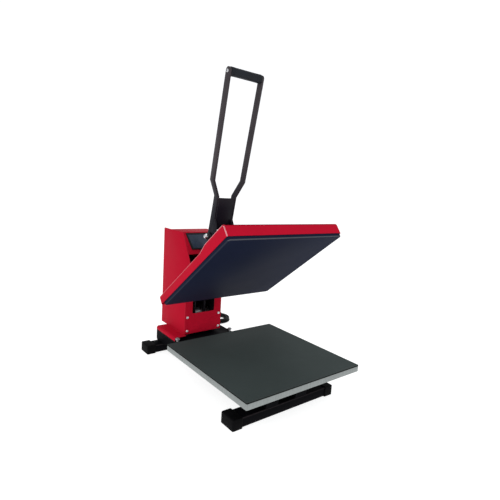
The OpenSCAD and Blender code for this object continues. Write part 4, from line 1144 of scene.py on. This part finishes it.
class PRESS_OT_sheet_metal(bpy.types.Operator):
    """Folded red sheets of the column and of the heater cover"""

    bl_idname = "press.sheet_metal"
    bl_label = "Red sheet metal"

    def execute(self, context):
        settings = context.scene.press_finish
        dressed(("column_left_panel", "column_right_panel", "column_front_panel", "console_cover",
                 "rear_cover"), settings.sheet_edge, wear=0.06)

        corners = [v.co for v in NODES["heater_cover"].data.vertices]
        base = min(UPRIGHT.dot(co) for co in corners)
        middle = (min(ALONG.dot(co) for co in corners) + max(ALONG.dot(co) for co in corners)) / 2
        hem, front_part = 0.003, 0.06

        def height(edge):
            return UPRIGHT.dot(edge.verts[0].co + edge.verts[1].co) / 2 - base

        def upper(edge):
            return edge.is_convex and height(edge) > hem

        def lower(edge):
            return edge.is_convex and height(edge) < hem

        def highlighted_folds(face):
            """Share of painted highlight on the upright corners and on the fold along the top: full on the
            front part, half further back.
            """
            side, up, back = abs(face.normal.x), face.normal.dot(UPRIGHT), abs(face.normal.dot(ALONG))
            corner = 0.5 < side < 0.85 and abs(up) < 0.25
            brim = 0.4 < side < 0.995 and up > 0.08 and back < 0.35
            front = ALONG.dot(face.center) < middle - front_part
            return (corner or brim) * (1.0 if front else 0.5)

        # The heater cover's corners and top folds get a painted highlight, in the red powder coat's pale
        # tint.
        dressed(("heater_cover",), settings.cover_edge, segments=5, angle=25.0, where=upper, wear=1.0,
                rubbed=highlighted_folds, finer=(settings.sheet_edge, 2, lower))
        return {"FINISHED"}


class PRESS_OT_plates(bpy.types.Operator):
    """Platens, arms, handle, cheeks, links and what lines the heater"""

    bl_idname = "press.plates"
    bl_label = "Plates and arms"

    def execute(self, context):
        settings = context.scene.press_finish
        base = min(UPRIGHT.dot(v.co) for v in NODES["heating_plate"].data.vertices)
        near = 0.0005

        # The heating plate's working rim gets a painted highlight where it faces the front, and a lesser
        # share as wear on its other faces.
        def rim_wear_front_highlight(face):
            return face.material_index == 1 and (1.0 if face.normal.dot(ALONG) < -0.2 else 0.3)

        def working_edge(edge):
            return all(UPRIGHT.dot(v.co) < base + near for v in edge.verts)

        dressed(("heating_plate",), settings.rim_edge, where=working_edge, wear=0.5, rubbed=rim_wear_front_highlight)
        dressed(("lower_platen", "arm_left", "arm_right", "arm_foot_plate", "cheek_left", "cheek_right",
                 "toggle_links", "pressure_block"), settings.plate_edge)
        dressed(("handle_plate", "handle_left_bar", "handle_right_bar"), settings.plate_edge, "handle_paint")
        dressed(("heater_mat", "insulation_board", "arm_tubes", "hinge_shaft", "shaft_end_bolts",
                 "link_anchor_pins", "link_pins"), settings.small_edge)
        return {"FINISHED"}


class PRESS_OT_controls(bpy.types.Operator):
    """Controller frame and screen, power switch, relay, board and pressure knob"""

    bl_idname = "press.controls"
    bl_label = "Controls"

    def execute(self, context):
        settings = context.scene.press_finish
        dressed(("controller_screen", "controller_board", "switch_frame", "power_rocker", "power_relay"),
                settings.small_edge)
        dressed(("controller_bezel",), 0.6 * settings.small_edge, where=outward)
        self.vent_filter()
        dressed(("pressure_knob",), 2.5 * settings.small_edge, segments=3, where=outward)
        return {"FINISHED"}

    def vent_filter(self):
        """Thin dark foam behind the rear vents, cut out round the relay."""
        rear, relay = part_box("rear_cover"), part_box("power_relay")
        low, high = Vector((-0.038, 0.0, 0.228)), Vector((0.038, 0.0, 0.311))
        gap, thick, cover_sheet = 0.0006, 0.0014, 0.002
        foam = plane("vent_filter_foam")
        foam.scale = (high.x - low.x, high.z - low.z, 1.0)
        foam.rotation_euler = (math.radians(90.0), 0.0, 0.0)
        foam.location = (0.0, rear[1].y - cover_sheet - gap, (low.z + high.z) / 2)
        settle(foam)
        cuts = (((relay[0].x - gap, 0.0, 0.0), RIGHT), ((relay[1].x + gap, 0.0, 0.0), RIGHT),
                ((0.0, 0.0, relay[0].z - gap), UP))
        for point, normal in cuts:
            edit(foam)
            bpy.ops.mesh.bisect(plane_co=point, plane_no=normal)
        mesh = edit(foam)
        pick_faces(mesh, lambda centre: relay[0].x < centre.x < relay[1].x and centre.z > relay[0].z)
        bpy.ops.mesh.delete(type="FACE")
        close()
        thicken(foam, thick, -1.0)
        foam.data.materials.append(finish_of("grip_rubber"))
        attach(foam, "base")


class PRESS_PT_looks(bpy.types.Panel):
    """Lists the steps that dress the press"""

    bl_idname = "PRESS_PT_looks"
    bl_label = "Heat Press"
    bl_space_type = "VIEW_3D"
    bl_region_type = "UI"
    bl_category = "Heat Press"

    def draw(self, context):
        for step in STEPS:
            self.layout.operator(step.bl_idname)


STEPS = (PRESS_OT_stage, PRESS_OT_mains_lead, PRESS_OT_pad, PRESS_OT_grip, PRESS_OT_fasteners,
         PRESS_OT_spring, PRESS_OT_frame, PRESS_OT_sheet_metal, PRESS_OT_plates, PRESS_OT_controls)
CLASSES = (PressFinishSettings, PressCordSettings, PressStageSettings, *STEPS, PRESS_PT_looks)


def register():
    for item in CLASSES:
        bpy.utils.register_class(item)
    bpy.types.Scene.press_finish = bpy.props.PointerProperty(type=PressFinishSettings)
    bpy.types.Scene.press_cord = bpy.props.PointerProperty(type=PressCordSettings)
    bpy.types.Scene.press_stage = bpy.props.PointerProperty(type=PressStageSettings)


def unregister():
    del bpy.types.Scene.press_stage
    del bpy.types.Scene.press_cord
    del bpy.types.Scene.press_finish
    for item in reversed(CLASSES):
        bpy.utils.unregister_class(item)


def main():
    register()
    bpy.ops.press.stage()
    bpy.ops.press.mains_lead()
    bpy.ops.press.pad()
    bpy.ops.press.grip()
    bpy.ops.press.fasteners()
    bpy.ops.press.spring()
    bpy.ops.press.frame()
    bpy.ops.press.sheet_metal()
    bpy.ops.press.plates()
    bpy.ops.press.controls()


if __name__ == "__main__":
    main()
